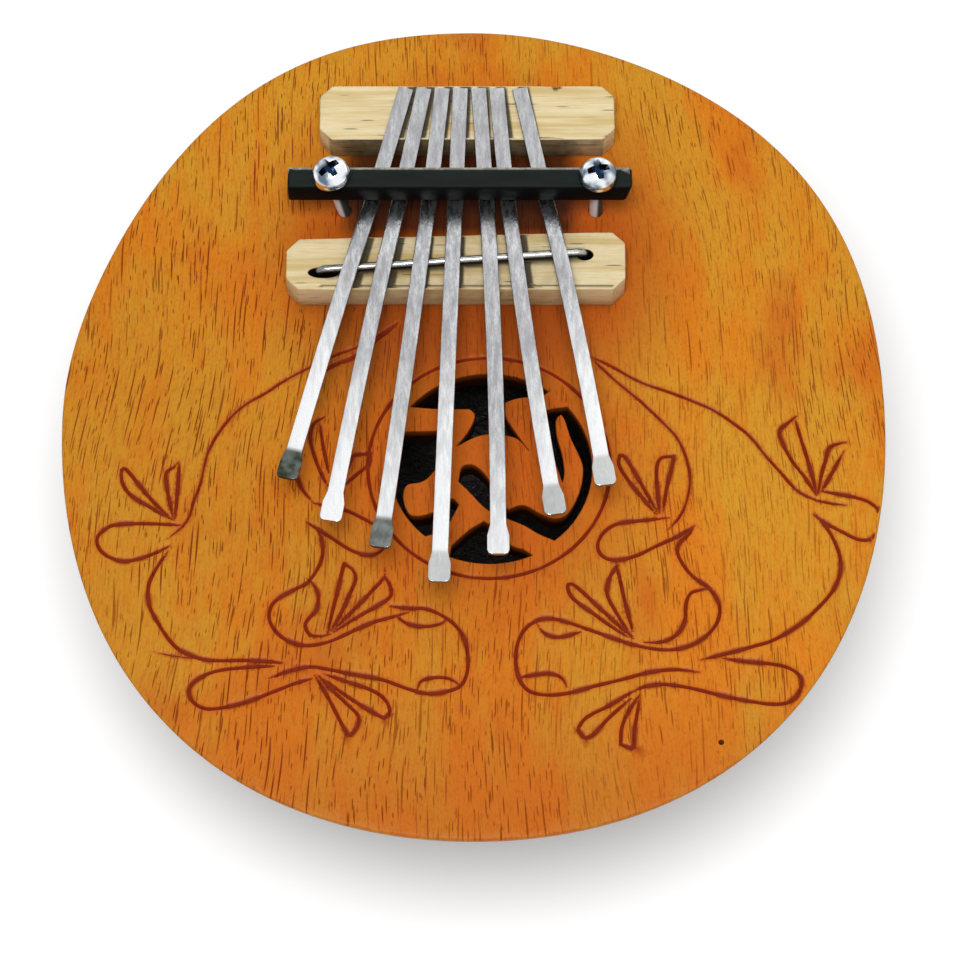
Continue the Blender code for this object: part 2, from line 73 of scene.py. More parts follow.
MM = 0.001
UP = Vector((0, 0, 1))
RESONATOR = "resonator"
TINES = range(1, 1 + sum(name.endswith("_tail") for name in frame["nodes"]))

# Carved lines on the board, in millimetres, x to the right and y to the rear.
RING_CENTRE = (2.4, -9.0)
RING_RADIUS = 19.0
RING_POINTS = 48
PIN_HOLE = (37.5, -54.9)
LEFT_GECKO = (
    # back, belly and the two sides of the trunk
    ((-12, 16.5), (-14.5, 14.5), (-18.5, 12), (-22, 10.5), (-26.25, 8.25), (-30, 6), (-33.25, 3.6), (-35.5, 2.25),
     (-38, 0), (-40.25, -3.25), (-41.75, -6.5), (-42.25, -8.75), (-42.75, -11.75), (-43.75, -15), (-44.25, -17.25),
     (-45, -18.75), (-46, -19.9), (-47.75, -21.4)),
    ((-12, 16.25), (-19, 10.25), (-23.25, 8), (-26, 3), (-28, -3), (-28.3, -8), (-27, -12.5), (-25, -15.25)),
    ((-47.5, -23.5), (-49.25, -26.5), (-50.25, -29.25), (-50, -32.5), (-48.5, -35.5), (-46.5, -38.5),
     (-45, -39.9), (-42.1, -41.2), (-40, -41.6), (-34, -41.6), (-29, -42)),
    ((-10, -33.6), (-12, -34.25), (-16, -35.5), (-20, -37.5), (-22.5, -38.6), (-25.5, -39.15), (-28, -38.6),
     (-30, -37.25), (-31.4, -35), (-31.25, -32.75), (-30, -31.25), (-27.5, -29.75), (-25.75, -28.75), (-24, -26),
     (-23.4, -23.5), (-23.75, -21), (-24.5, -19.5)),
    ((-25.75, -28), (-24.75, -29), (-24, -30.75), (-24.25, -33.25), (-25.25, -34.5), (-25.9, -35.75),
     (-25.25, -37.25), (-24, -37.6), (-22, -37.25)),
    # head and eyes
    ((-31.25, -44.5), (-28, -43.25), (-25, -42.65), (-22.5, -43), (-19, -43.75), (-14, -44.75), (-10, -46.25),
     (-7, -47), (-4.5, -46.75), (-2, -45.75), (-1.0, -43.5), (-0.9, -41), (-1.3, -38.5), (-2.2, -36.6),
     (-4, -34.75), (-7.25, -33.1), (-9.75, -33), (-13.25, -32.6)),
    ((-12, -34.25), (-10, -35.6), (-7.25, -36), (-5, -35.5), (-4, -34.75)),
    ((-8.6, -46.25), (-8, -45), (-6, -44.4), (-3.75, -44.6), (-2.25, -45.5)),
    # upper hand and its toes
    ((-45.5, -19), (-52, -18.75), (-56, -19), (-57.75, -20), (-58.6, -21.5), (-57.75, -23.5), (-55.75, -24.75),
     (-53.75, -25.1), (-50, -24), (-47, -22.4)),
    ((-47.0, -18.1), (-50.5, -14.5), (-54.5, -9.5), (-55.25, -9.25), (-55.1, -11.5), (-53.75, -13.75),
     (-50, -16.25), (-47.1, -18.1)),
    ((-46.75, -18.2), (-47.5, -15), (-48.1, -12), (-48.15, -10), (-47, -9), (-46.25, -8.1)),
    ((-46.25, -8.1), (-46.25, -9.5), (-46.35, -14), (-46.6, -18.2)),
    # lower hand and its toes
    ((-30.5, -42.5), (-35, -42.75), (-39.5, -43.4), (-42.25, -44.75), (-43.4, -46.25), (-43, -48),
     (-41.5, -49.25), (-39.5, -49.5), (-35, -48.5), (-30, -46.5), (-27, -45.25), (-24.5, -44.5)),
    ((-24.25, -44), (-22, -48), (-20, -52), (-18.9, -54), (-17.75, -52.5), (-17.5, -50.75), (-19, -49),
     (-22, -46), (-23.75, -44)),
    ((-23.5, -44.3), (-18.5, -48), (-15, -50.25), (-13.6, -51), (-12.75, -50), (-13.5, -48), (-15.5, -46.5),
     (-19.5, -45), (-23, -43.75)),
    # front toes
    ((-22.5, -37.25), (-21.75, -33.5), (-20.9, -29.5), (-20.1, -25.5), (-18.75, -26.5), (-18.25, -28),
     (-19, -30.25), (-20.75, -34.5), (-22.25, -37)),
    ((-21.75, -36.75), (-18.5, -33.25), (-15, -29.25), (-13.75, -27.75), (-13, -29), (-12.75, -30.75),
     (-14, -32), (-18, -34.5), (-21.5, -36.9)),
    ((-13.75, -26.25), (-13.75, -27.75)),
    # hind foot and its toes
    ((-25, -15.25), (-20, -16.5), (-17, -18), (-14.5, -19.5)),
    ((-26, -18.5), (-24.5, -19.5), (-22, -21.25), (-18.5, -23.5), (-15.5, -24), (-13.5, -22.5)),
    ((-22.6, -12.5), (-23.3, -11.5), (-24.75, -8), (-25.75, -4), (-25.25, -1.6), (-23.5, -0.3)),
    ((-24.3, -1.5), (-23.75, -5), (-22.75, -10)),
    ((-21.5, -13.5), (-20, -10), (-19, -7), (-16.3, -6.7), (-16.3, -8.3), (-18.5, -10.5), (-20.5, -12.5)),
    # slip of the knife by the lower hand
    ((-49.3, -40.2), (-45.7, -40.9), (-42, -41.4)),
)
RIGHT_GECKO = (
    # back, belly and the sides of the trunk
    ((18.75, 10.25), (21.5, 8.75), (26.5, 5.75), (31.5, 3.75), (35, 2.25), (38, 0.75), (41, -1.5), (43.5, -3.75),
     (46, -7.25), (48.5, -10.5), (50.5, -13), (53, -14.5), (55.5, -15.25), (58.25, -15.6)),
    ((18.75, 10), (22, 6.5), (26.5, 2.25), (30, -1.5), (32, -4), (33.25, -7), (33.9, -11), (33.25, -15),
     (32, -17.75), (30.25, -19.75)),
    ((53.25, -17), (54.5, -18.75), (55.75, -21), (56.75, -24), (56.75, -27), (55.5, -30), (53, -33),
     (50, -35.75), (46, -38.25), (43, -39.25), (39.5, -40.25), (34.75, -41.5)),
    ((36.25, -29.75), (34.75, -30), (33.5, -30.5), (32.75, -32.25), (32.5, -35), (31.25, -37.25), (29, -38.5),
     (26, -38.6)),
    # head with the upper side of the trunk, and eyes
    ((34.5, -43.5), (31, -43.1), (27, -43.5), (22.5, -44.75), (18, -45.9), (14.5, -46.9), (11.5, -47.25),
     (8.75, -46.75), (7.25, -45.25), (6.5, -42.5), (6.6, -39.5), (7.5, -37), (9.25, -35.25), (11.25, -34.65),
     (13.5, -35), (17, -36.25), (21, -37.75), (24.5, -39), (28, -39.75), (31, -39.75), (34, -38.75),
     (36.5, -36.75), (37.75, -34.5), (37.75, -32), (36.25, -29.5), (34, -27.75), (32.5, -25.75), (31.6, -23.5),
     (32, -22), (33.5, -20.5), (34.25, -19.25)),
    ((9.75, -35.5), (10.75, -37), (12.75, -37.75), (15.25, -37.25), (16.75, -36.75)),
    ((6.5, -44.5), (9.5, -43.9), (11.75, -43.75), (13.5, -44.5), (14.25, -46)),
    # upper hand and its toes
    ((54.5, -13.25), (58, -13.9), (60, -14.4), (62, -15.25), (63.4, -17), (63.5, -19.5), (62, -21.25),
     (60, -21.5), (57.5, -20.25), (55, -18.75), (53, -17.25)),
    ((53.6, -13.9), (52, -11), (50, -8), (48.5, -4.5), (48.25, -2.75), (49.5, -1.5), (51.25, 0)),
    ((50.75, -0.75), (51.5, -4), (52.5, -8), (53.7, -13.7)),
    ((53.9, -13.7), (54.5, -10.5), (55.25, -8), (56, -5.75), (57.5, -5), (58.75, -4.75)),
    ((58.25, -6.25), (56.5, -9.5), (54.3, -13.5)),
    # lower hand and its toes
    ((38, -41.25), (41.5, -41.75), (46, -42.25), (48.5, -43), (50, -44.5), (49.75, -46.5), (48.25, -48.25),
     (46, -48.75), (42, -48.25), (37.5, -47.25), (33, -46.1), (29, -45.5), (26, -45.9), (24.25, -46.75)),
    ((24.5, -46.5), (20.5, -49), (17, -51), (15.75, -52.75), (16.75, -54.25), (18, -53.75), (20.5, -51),
     (24, -47.75)),
    ((25.25, -47.25), (23.5, -50), (22.5, -52.5), (22.25, -55.25), (24.25, -56), (24.4, -53), (25, -49.5),
     (25.25, -47.5)),
    # front toes
    ((24.5, -37.6), (24, -37.25), (22, -33.75), (20.6, -30.5), (21, -28), (22.1, -26), (22.5, -27.5),
     (23.25, -31.5), (24.5, -37)),
    ((23.75, -37.75), (21.5, -36.25), (18, -33.5), (15.25, -31.25), (14.5, -29.5), (14.75, -28.75),
     (15.75, -29.25), (19, -32.5), (22, -35.5), (24.5, -38)),
    # hind foot and its toes
    ((30.5, -17.75), (26, -18.25), (22.5, -18.75), (20.25, -20.25), (19.25, -22.5), (20, -24.25), (22, -24.9),
     (25, -24.25), (28.5, -22.5), (32, -20.75), (34.5, -19)),
    ((28.5, -17.25), (26.5, -14.5), (24, -11), (22.75, -8.5), (23, -7), (23.75, -7.25), (25.5, -10.5),
     (27.25, -14), (28.75, -17)),
    ((29, -17), (28.75, -13), (28.75, -9), (29.5, -7.5), (31.5, -7.25), (31.25, -8.5), (30.25, -12.5),
     (29.5, -17)),
)

# Turns sharper than this stay sharp on a smooth line.
SHARP_TURN = math.radians(65)
WINDOW_SHARP_TURN = math.radians(30)

# Zone across the tines, where shade is painted on the board and the bridges and grime lies on the front bridge: its
# middle, half width and soft edge, in millimetres.
TINE_ZONE = (-2.2, 20.3, 3.0)


# ---------------------------------------------------------------- settings


def srgb(red, green, blue):
    """Linear colour of three screen values from 0 to 255."""
    shares = [value / 255 for value in (red, green, blue)]
    linear = [v / 12.92 if v <= 0.04045 else ((v + 0.055) / 1.055) ** 2.4 for v in shares]
    return (*linear, 1.0)


def colour(name, description, *screen):
    """Colour setting with its default given as screen values."""
    return FloatVectorProperty(name=name, description=description, subtype="COLOR", size=4, min=0, max=1,
                               default=srgb(*screen))


def number(name, description, default, **more):
    return FloatProperty(name=name, description=description, default=default, **more)


def length(name, description, millimetres):
    """Length setting with its default given in millimetres."""
    return number(name, description, millimetres * MM, subtype="DISTANCE", unit="LENGTH", min=0, precision=5)


def angle(name, description, degrees):
    """Angle setting with its default given in degrees."""
    return number(name, description, math.radians(degrees), subtype="ANGLE", unit="ROTATION")


class BoardSettings(bpy.types.PropertyGroup):
    """Sizes and colours of the carved soundboard."""

    groove_width: length("Groove width", "Width of a carved line at the surface", 0.72)
    groove_depth: length("Groove depth", "Depth of a carved line at its middle", 0.34)
    ring_width: length("Ring width", "Width of the carved ring round the sound hole", 0.66)
    rim_round: length("Rim round", "How far the rim is rounded over", 0.45)
    pin_hole: length("Pin hole", "Diameter of the small hole near the front", 0.9)
    honey: colour("Honey", "Palest tone of the stain", 204, 145, 36)
    amber: colour("Amber", "Main tone of the stain", 213, 125, 22)
    rust: colour("Rust", "Reddest tone of the stain", 188, 84, 16)
    pore: colour("Pores", "Dark streaks of the open pores", 126, 42, 3)
    carved: colour("Carved lines", "Cut wood in the carved lines", 122, 38, 10)
    # Painted shade, on the hole walls and by the tines.
    shade: colour("Hole walls", "Painted shade on the hole walls and by the tines", 34, 14, 5)


class ShellSettings(bpy.types.PropertyGroup):
    """Sizes and colours of the half coconut shell."""

    ridge: length("Ridge height", "Height of the three natural ridges", 0.45)
    lumps: length("Lumps", "Height of the broad uneven lumps", 0.25)
    fibre_length: length("Fibre length", "Length of a fibre left on the skin", 4.5)
    fibre_width: length("Fibre width", "Width of a fibre left on the skin", 0.26)
    fibre_density: number("Fibre density", "Fibres on a square metre of skin", 1.0e5, min=0)
    skin: colour("Skin", "Sanded outer skin", 74, 44, 26)
    skin_pale: colour("Worn skin", "Paler streaks of the outer skin", 122, 80, 48)
    # Dark inner wall, darkened further as painted shade of the chamber.
    inside: colour("Inside", "Dark inner wall, darkened as painted shade of the chamber", 18, 11, 8)


class BridgeSettings(bpy.types.PropertyGroup):
    """Sizes and colours of the two pale bridges."""

    edge: length("Eased edge", "Width of the eased top edge", 0.25)
    waver: length("Waver", "How far the hand-cut sides waver", 0.07)
    pale: colour("Pale wood", "Main tone of the bare wood", 230, 214, 172)
    straw: colour("Straw", "Darker tone of the bare wood", 206, 180, 122)
    pore: colour("Pores", "Dark dashes along the grain", 66, 46, 24)
    # Grime, and painted shade on the faces under the bar and between the tines.
    stain: colour("Stain", "Grime and painted shade on the faces", 96, 62, 16)
    # Painted shade by the tines, under the wire and in the holes.
    shade: colour("Shade", "Painted shade by the tines, under the wire, in the holes and the nick, and black in the scored line", 20, 14, 9)


class TineSettings(bpy.types.PropertyGroup):
    """Sizes and colours of the steel tines."""

    stations: IntProperty(name="Stations", description="Cross sections along a tine", default=120, min=8)
    sides: IntProperty(name="Sides", description="Points round a cross section", default=20, min=8)
    bright: colour("Bright steel", "Rubbed steel", 234, 235, 236)
    dull: colour("Dull steel", "Mottled steel", 128, 127, 132)
    # Painted dark reflection on some tips, and painted shade on the strips' sides.
    dark_reflection_and_shade: colour("Dark tip", "Painted dark reflection on some tips, and painted shade on the strips' sides", 46, 56, 43)


class MetalSettings(bpy.types.PropertyGroup):
    """Sizes and colours of the bar, the screws and the wire."""

    bar_edge: length("Bar edge", "Width of the bar's eased edges", 0.35)
    paint: colour("Black paint", "Paint of the bar", 8, 10, 10)
    # Dust and painted light on the top of the bar.
    dust_and_top_light: colour("Dust and top light", "Dust and painted light on the top of the bar", 31, 37, 34)
    # Painted highlight along the bar's rear top edge.
    bare: colour("Edge highlight", "Painted highlight along the bar's rear top edge", 168, 163, 152)
    zinc: colour("Zinc", "Plated screws", 240, 243, 247)
    # Bluish patches of the plating; on the screws they also stand in for dark reflections.
    haze: colour("Haze", "Bluish patches of the plating, also painted dark reflections on the screws", 66, 92, 114)
    recess: colour("Recess", "Shaded plating in the cross recess", 30, 46, 70)
    # Painted shade on one side of the shanks and round the heads' rims.
    tarnish: colour("Painted shade", "Painted shade on one side of the screws' shanks and round the heads' rims", 22, 36, 30)
    wire: colour("Wire", "Bright wire", 208, 205, 196)
    thread_pitch: length("Thread pitch", "Rise of the screw thread in one turn", 1.25)
    spin_left: angle("Left recess", "Turn of the left screw's cross recess", 38)
    spin_right: angle("Right recess", "Turn of the right screw's cross recess", 14)


class StageSettings(bpy.types.PropertyGroup):
    """Camera, floor and light."""

    elevation: angle("Elevation", "Height of the camera above the horizon", 65)
    distance: length("Distance", "Distance of the camera from its aim", 560)
    lens: number("Lens", "Focal length", 133.3, unit="CAMERA")
    shift_x: number("Shift X", "Sideways shift of the frame", 0.0078)
    shift_y: number("Shift Y", "Upward shift of the frame", -0.0458)
    key: number("Key light", "Power of the key light", 4.7, unit="POWER")
    fill: number("Fill light", "Power of the fill light", 0.6, unit="POWER")
    sky: number("Sky", "Strength of the even light from all round", 0.32)
    floor: colour("Floor", "Pale floor", 235, 235, 235)
    cloud: colour("Floor cloud", "Slightly darker patches of the floor", 228, 228, 228)


class KalimbaSettings(bpy.types.PropertyGroup):
    """All settings of the kalimba."""

    board: PointerProperty(type=BoardSettings)
    shell: PointerProperty(type=ShellSettings)
    bridges: PointerProperty(type=BridgeSettings)
    tines: PointerProperty(type=TineSettings)
    metal: PointerProperty(type=MetalSettings)
    stage: PointerProperty(type=StageSettings)


# ---------------------------------------------------------------- node trees


class Graph:
    """Short calls that add nodes to one tree."""

    def __init__(self, tree):
        self.tree = tree

    def wire(self, node, inputs):
        """Sets inputs, given by name or by number, to a value or links them to a socket."""
        for key, value in inputs.items():
            if isinstance(value, bpy.types.NodeSocket):
                self.tree.links.new(value, node.inputs[key])
            else:
                node.inputs[key].default_value = value

    def add(self, kind, inputs=None, **settings):
        node = self.tree.nodes.new(kind)
        for name, value in settings.items():
            setattr(node, name, value)
        self.wire(node, inputs or {})
        return node

    def math(self, operation, first, second=0.0, clamp=False):
        return self.add("ShaderNodeMath", {0: first, 1: second}, operation=operation, use_clamp=clamp).outputs[0]

    def vector(self, operation, first, second):
        return self.add("ShaderNodeVectorMath", {0: first, 1: second}, operation=operation).outputs[0]

    def scaled(self, vector, factor):
        return self.add("ShaderNodeVectorMath", {0: vector, "Scale": factor}, operation="SCALE").outputs[0]


class Finish(Graph):
    """Material with its pattern laid out in millimetres of the piece's own place."""

    chance_edge = 0.15

    def __init__(self, name, base):
        self.material = bpy.data.materials.new(name)
        self.material.use_nodes = True
        super().__init__(self.material.node_tree)
        self.surface = self.tree.nodes["Principled BSDF"]
        self.place = self.scaled(self.add("ShaderNodeTexCoord").outputs["Object"], 1 / MM)
        self.base = base

    def lay(self, colour, share):
        """Lays a colour over the base by a share."""
        self.base = self.add("ShaderNodeMix", {0: share, 6: self.base, 7: colour}, data_type="RGBA").outputs[2]

    def stretched(self, scales, vector=None):
        return self.vector("MULTIPLY", vector or self.place, scales)

    def noise(self, scale, detail=2.0, roughness=0.5, vector=None):
        """Cloudy pattern, with one scale or with three."""
        place = {"Vector": self.place, "Scale": scale}
        if isinstance(scale, tuple):
            place = {"Vector": self.stretched(scale, vector), "Scale": 1.0}
        return self.add("ShaderNodeTexNoise", {**place, "Detail": detail, "Roughness": roughness}).outputs["Fac"]

    def span(self, value, low, high, start=0.0, end=1.0):
        """Smooth step from start to end while the value goes from low to high."""
        return self.add("ShaderNodeMapRange", {0: value, 1: low, 2: high, 3: start, 4: end},
                        interpolation_type="SMOOTHSTEP", clamp=True).outputs[0]

    def attribute(self, name):
        return self.add("ShaderNodeAttribute", attribute_name=name).outputs["Fac"]

    def dashes(self, scales, width, edge, keep, vector=None, dimensions="3D"):
        """Scattered dashes; keep is the share of them that shows."""
        cells = self.add("ShaderNodeTexVoronoi", {"Vector": self.stretched(scales, vector), "Scale": 1.0},
                         voronoi_dimensions=dimensions).outputs
        chance = self.add("ShaderNodeSeparateColor", {"Color": cells["Color"]}).outputs[0]
        shown = self.span(chance, 1 - keep - self.chance_edge, 1 - keep + self.chance_edge)
        return self.math("MULTIPLY", self.span(cells["Distance"], width, width + edge, 1.0, 0.0), shown)

    def close(self, roughness, height=None, depth=0.0, metallic=0.0, specular=0.5):
        """Wires the pattern to the surface; the height is a bump of a depth in metres."""
        inputs = {"Base Color": self.base, "Roughness": roughness, "Metallic": metallic,
                  "Specular IOR Level": specular}
        if height is not None:
            bump = self.add("ShaderNodeBump", {"Height": height, "Distance": depth, "Strength": 1.0})
            inputs["Normal"] = bump.outputs[0]
        self.wire(self.surface, inputs)
        return self.material


class Maker(Graph):
    """Geometry node tree with named inputs that ends in Realize Instances and Set Material."""

    def __init__(self, name, **inputs):
        tree = bpy.data.node_groups.new(name, "GeometryNodeTree")
        super().__init__(tree)
        self.identifiers = {}
        for label, kind in {"Geometry": "Geometry", **inputs, "Material": "Material"}.items():
            socket = tree.interface.new_socket(label, in_out="INPUT", socket_type=f"NodeSocket{kind}")
            self.identifiers[label] = socket.identifier
        tree.interface.new_socket("Geometry", in_out="OUTPUT", socket_type="NodeSocketGeometry")
        self.given = tree.nodes.new("NodeGroupInput").outputs

    def named(self, name):
        """Value stored on the points under a name."""
        return self.add("GeometryNodeInputNamedAttribute", {"Name": name}, data_type="FLOAT").outputs[0]

    def tube(self, course, sides, radius):
        """Round tube along a curve."""
        ring = self.add("GeometryNodeCurvePrimitiveCircle", {"Resolution": sides, "Radius": radius})
        return self.add("GeometryNodeCurveToMesh", {"Curve": course, "Profile Curve": ring.outputs["Curve"],
                                                    "Fill Caps": True}).outputs[0]

    def close(self, geometry):
        solid = self.add("GeometryNodeRealizeInstances", {"Geometry": geometry}).outputs[0]
        dressed = self.add("GeometryNodeSetMaterial", {"Geometry": solid, "Material": self.given["Material"]})
        self.add("NodeGroupOutput", {0: dressed.outputs[0]})
        return self

    def run(self, name, mesh, **values):
        """Plain mesh object made from the given mesh."""
        piece = link(name, mesh)
        modifier = piece.modifiers.new(self.tree.name, "NODES")
        modifier.node_group = self.tree
        for label, value in values.items():
            modifier[self.identifiers[label]] = value
        piece.data = evaluated_mesh(piece)
        piece.modifiers.remove(modifier)
        piece.data.name = name
        return piece


# ---------------------------------------------------------------- shapes


TINY = 1e-9
NODE_MERGE = 1e-6
PIECE_MERGE = 1e-7


def link(name, data):
    """New object in the scene."""
    thing = bpy.data.objects.new(name, data)
    bpy.context.scene.collection.objects.link(thing)
    return thing


def evaluated_mesh(piece):
    """Mesh of a piece with its modifiers applied."""
    return bpy.data.meshes.new_from_object(piece.evaluated_get(bpy.context.evaluated_depsgraph_get()))


def mark(mesh, **marks):
    """Stores one value for each point under each name."""
    for label, values in marks.items():
        mesh.attributes.new(label, "FLOAT", "POINT").data.foreach_set("value", np.asarray(values, np.float32))


def new_mesh(name, points, edges, faces):
    """Mesh from points in millimetres."""
    mesh = bpy.data.meshes.new(name)
    mesh.from_pydata((np.asarray(points, float) * MM).tolist(), edges, [tuple(map(int, face)) for face in faces])
    return mesh


def line_mesh(name, points):
    """Mesh of edges through points in millimetres."""
    return new_mesh(name, points, [(i, i + 1) for i in range(len(points) - 1)], [])


def tidy_mesh(mesh, sharp=None):
    """Merges doubles, turns faces outwards and shades smooth, with edges sharper than the angle kept."""
    shape = bmesh.new()
    shape.from_mesh(mesh)
    bmesh.ops.remove_doubles(shape, verts=shape.verts, dist=PIECE_MERGE)
    bmesh.ops.recalc_face_normals(shape, faces=shape.faces)
    shape.to_mesh(mesh)
    shape.free()
    mesh.shade_smooth()
    if sharp is not None:
        mesh.set_sharp_from_angle(angle=math.radians(sharp))


def mesh_piece(name, points, faces, sharp=None, **marks):
    """Object from points in millimetres, with its faces turned outwards and its marks as attributes."""
    mesh = new_mesh(name, points, [], faces)
    mark(mesh, **marks)
    tidy_mesh(mesh, sharp)
    return link(name, mesh)


def mesh_spots(mesh):
    """Points of a mesh, in millimetres."""
    return np.array([v.co for v in mesh.vertices]) / MM


def settle(piece, material, slot, body, *nodes):
    """Gives a finished piece its finish, hides the nodes it stands for and sets it on the body it rides on, if just
    one. The slot is not used.
    """
    piece.data.materials.clear()
    piece.data.materials.append(material)
    if nodes:
        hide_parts(*nodes)
    if body:
        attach(piece, body)


def box(node):
    """Lowest and highest corner of a node, in millimetres."""
    return tuple(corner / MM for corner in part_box(node))


def merged_copy(node):
    """Copy of a node's mesh with its loose triangles joined."""
    shape = bmesh.new()
    shape.from_mesh(frame["nodes"][node].data)
    bmesh.ops.remove_doubles(shape, verts=shape.verts, dist=NODE_MERGE)
    return shape


def node_spots(*nodes):
    """Points of nodes, in millimetres."""
    spots = []
    for node in nodes:
        shape = merged_copy(node)
        spots += [v.co / MM for v in shape.verts]
        shape.free()
    return np.array(spots)


def flat_loops(node, z):
    """Closed loops of points, in millimetres, round the flat faces of a node at a height; the longest first."""
    shape = merged_copy(node)
    flat = {face for face in shape.faces if all(abs(v.co.z - z) < NODE_MERGE for v in face.verts)}
    links = {}
    for edge in shape.edges:
        if sum(face in flat for face in edge.link_faces) == 1:
            first, second = (v.index for v in edge.verts)
            links.setdefault(first, []).append(second)
            links.setdefault(second, []).append(first)
    shape.verts.ensure_lookup_table()
    loops = []
    while links:
        start = next(iter(links))
        loop, here = [start], links.pop(start)[0]
        while here != start:
            loop.append(here)
            ahead = links.pop(here)
            here = ahead[0] if ahead[0] != loop[-2] else ahead[1]
        loops.append(anticlockwise(np.array([shape.verts[i].co[:2] for i in loop]) / MM))
    shape.free()
    return sorted(loops, key=lambda loop: -area(loop))


def area(loop):
    ahead = np.roll(loop, -1, axis=0)
    return float(np.sum(loop[:, 0] * ahead[:, 1] - loop[:, 1] * ahead[:, 0])) / 2


def anticlockwise(loop):
    return loop if area(loop) > 0 else loop[::-1]


def unit(rows):
    """Rows made one long."""
    return rows / np.maximum(np.linalg.norm(rows, axis=1, keepdims=True), TINY)


def smooth_course(points, step, closed=False, sharp=SHARP_TURN):
    """Points about a step apart on a smooth line through the given ones; sharp turns stay sharp."""
    points = np.asarray(points, float)
    arriving = points - np.roll(points, 1, axis=0)
    leaving = np.roll(points, -1, axis=0) - points
    if not closed:
        arriving[0], leaving[-1] = leaving[0], arriving[-1]
    sizes = np.linalg.norm(arriving, axis=1) * np.linalg.norm(leaving, axis=1)
    kinks = np.sum(arriving * leaving, axis=1) < math.cos(sharp) * sizes
    along = unit(arriving + leaving)
    course = []
    for i in range(len(points) - (not closed)):
        j = (i + 1) % len(points)
        chord = points[j] - points[i]
        reach = np.linalg.norm(chord)
        start, end = (chord if kinks[k] else along[k] * reach for k in (i, j))
        count = max(1, round(reach / step))
        t = np.arange(count)[:, None] / count
        course.append((2 * t**3 - 3 * t**2 + 1) * points[i] + (t**3 - 2 * t**2 + t) * start
                      + (3 * t**2 - 2 * t**3) * points[j] + (t**3 - t**2) * end)
    if not closed:
        course.append(points[-1:])
    return np.concatenate(course)


def straight_course(loop, step):
    """Closed loop with points about a step apart on its straight sides."""
    return smooth_course(loop, step, closed=True, sharp=0.0)


def offset_loop(loop, distance):
    """Anticlockwise loop moved outwards by a distance."""
    ahead = np.roll(loop, -1, axis=0) - loop
    normals = unit(np.stack([ahead[:, 1], -ahead[:, 0]], axis=1))
    before = np.roll(normals, 1, axis=0)
    facing = np.maximum(1 + np.sum(normals * before, axis=1, keepdims=True), 0.5)
    return loop + (normals + before) / facing * distance


def rounded_corners(loop, radius, steps=4):
    """Loop with each corner cut back by the radius, at most by 0.4 of a side, and turned in a short curve."""
    course = []
    for i, corner in enumerate(loop):
        sides = [loop[i - 1] - corner, loop[(i + 1) % len(loop)] - corner]
        cut = min(radius, *(np.linalg.norm(side) / 2.5 for side in sides))
        start, end = (corner + side / np.linalg.norm(side) * cut for side in sides)
        course += [(1 - t) ** 2 * start + 2 * t * (1 - t) * corner + t**2 * end for t in np.linspace(0, 1, steps + 1)]
    return np.array(course)


def circle(centre, radius, count):
    turn = np.arange(count) * math.tau / count
    return np.stack([centre[0] + radius * np.cos(turn), centre[1] + radius * np.sin(turn)], axis=1)


def hex_grid(outline, step):
    low, high = outline.min(axis=0), outline.max(axis=0)
    rows = np.arange(low[1], high[1], step * math.sqrt(3) / 2)
    return np.array([(x + (row % 2) * step / 2, y) for row, y in enumerate(rows)
                     for x in np.arange(low[0], high[0], step)])


def inside(points, loop):
    """Whether each point lies inside a closed loop."""
    points = np.asarray(points, float)
    within = np.zeros(len(points), bool)
    for (x1, y1), (x2, y2) in zip(loop, np.roll(loop, -1, axis=0)):
        if y1 != y2:
            crosses = (y1 > points[:, 1]) != (y2 > points[:, 1])
            within ^= crosses & (points[:, 0] < (x2 - x1) * (points[:, 1] - y1) / (y2 - y1) + x1)
    return within


def inside_less(points, rim, holes):
    """Whether each point lies inside the rim and outside every hole."""
    keep = inside(points, rim)
    for hole in holes:
        keep &= ~inside(points, hole)
    return keep


def rise(values, start, over):
    """0 up to the start, then up to 1 over a distance; a distance below 0 gives 1 that falls to 0 at the start."""
    return np.clip((values - start) / over, 0, 1)


def zone(values, middle, half, edge):
    """1 round the middle, with a soft edge to 0 at half on either side."""
    return np.clip((half - np.abs(values - middle)) / edge, 0, 1)


def glow(x, y, centre, reach, power):
    """1 at a centre that falls to 0 about a reach away, more sharply with a higher power."""
    return np.exp(-(np.hypot(x - centre[0], y - centre[1]) / reach) ** power)


def fill_loops(loops, extra=()):
    """Triangles over the first loop less the others; gives points, triangles and the place of each loop point."""
    points = np.concatenate([*loops, extra]) if len(extra) else np.concatenate(loops)
    edges, start = [], 0
    for loop in loops:
        edges += [(start + i, start + (i + 1) % len(loop)) for i in range(len(loop))]
        start += len(loop)
    made, _, faces, origins, _, _ = delaunay_2d_cdt([Vector(p) for p in points], edges, [], 0, 1e-6)
    made, faces = np.array([v[:] for v in made]), np.array(faces)
    keep = inside_less(made[faces].mean(axis=1), loops[0], loops[1:])
    place = {given: got for got, sources in enumerate(origins) for given in sources}
    return made, faces[keep].tolist(), [place[i] for i in range(start)]


def bands(rows):
    """Four-sided faces between rows of points that run round."""
    return [(first[i - 1], first[i], second[i], second[i - 1])
            for first, second in zip(rows, rows[1:]) for i in range(len(first))]


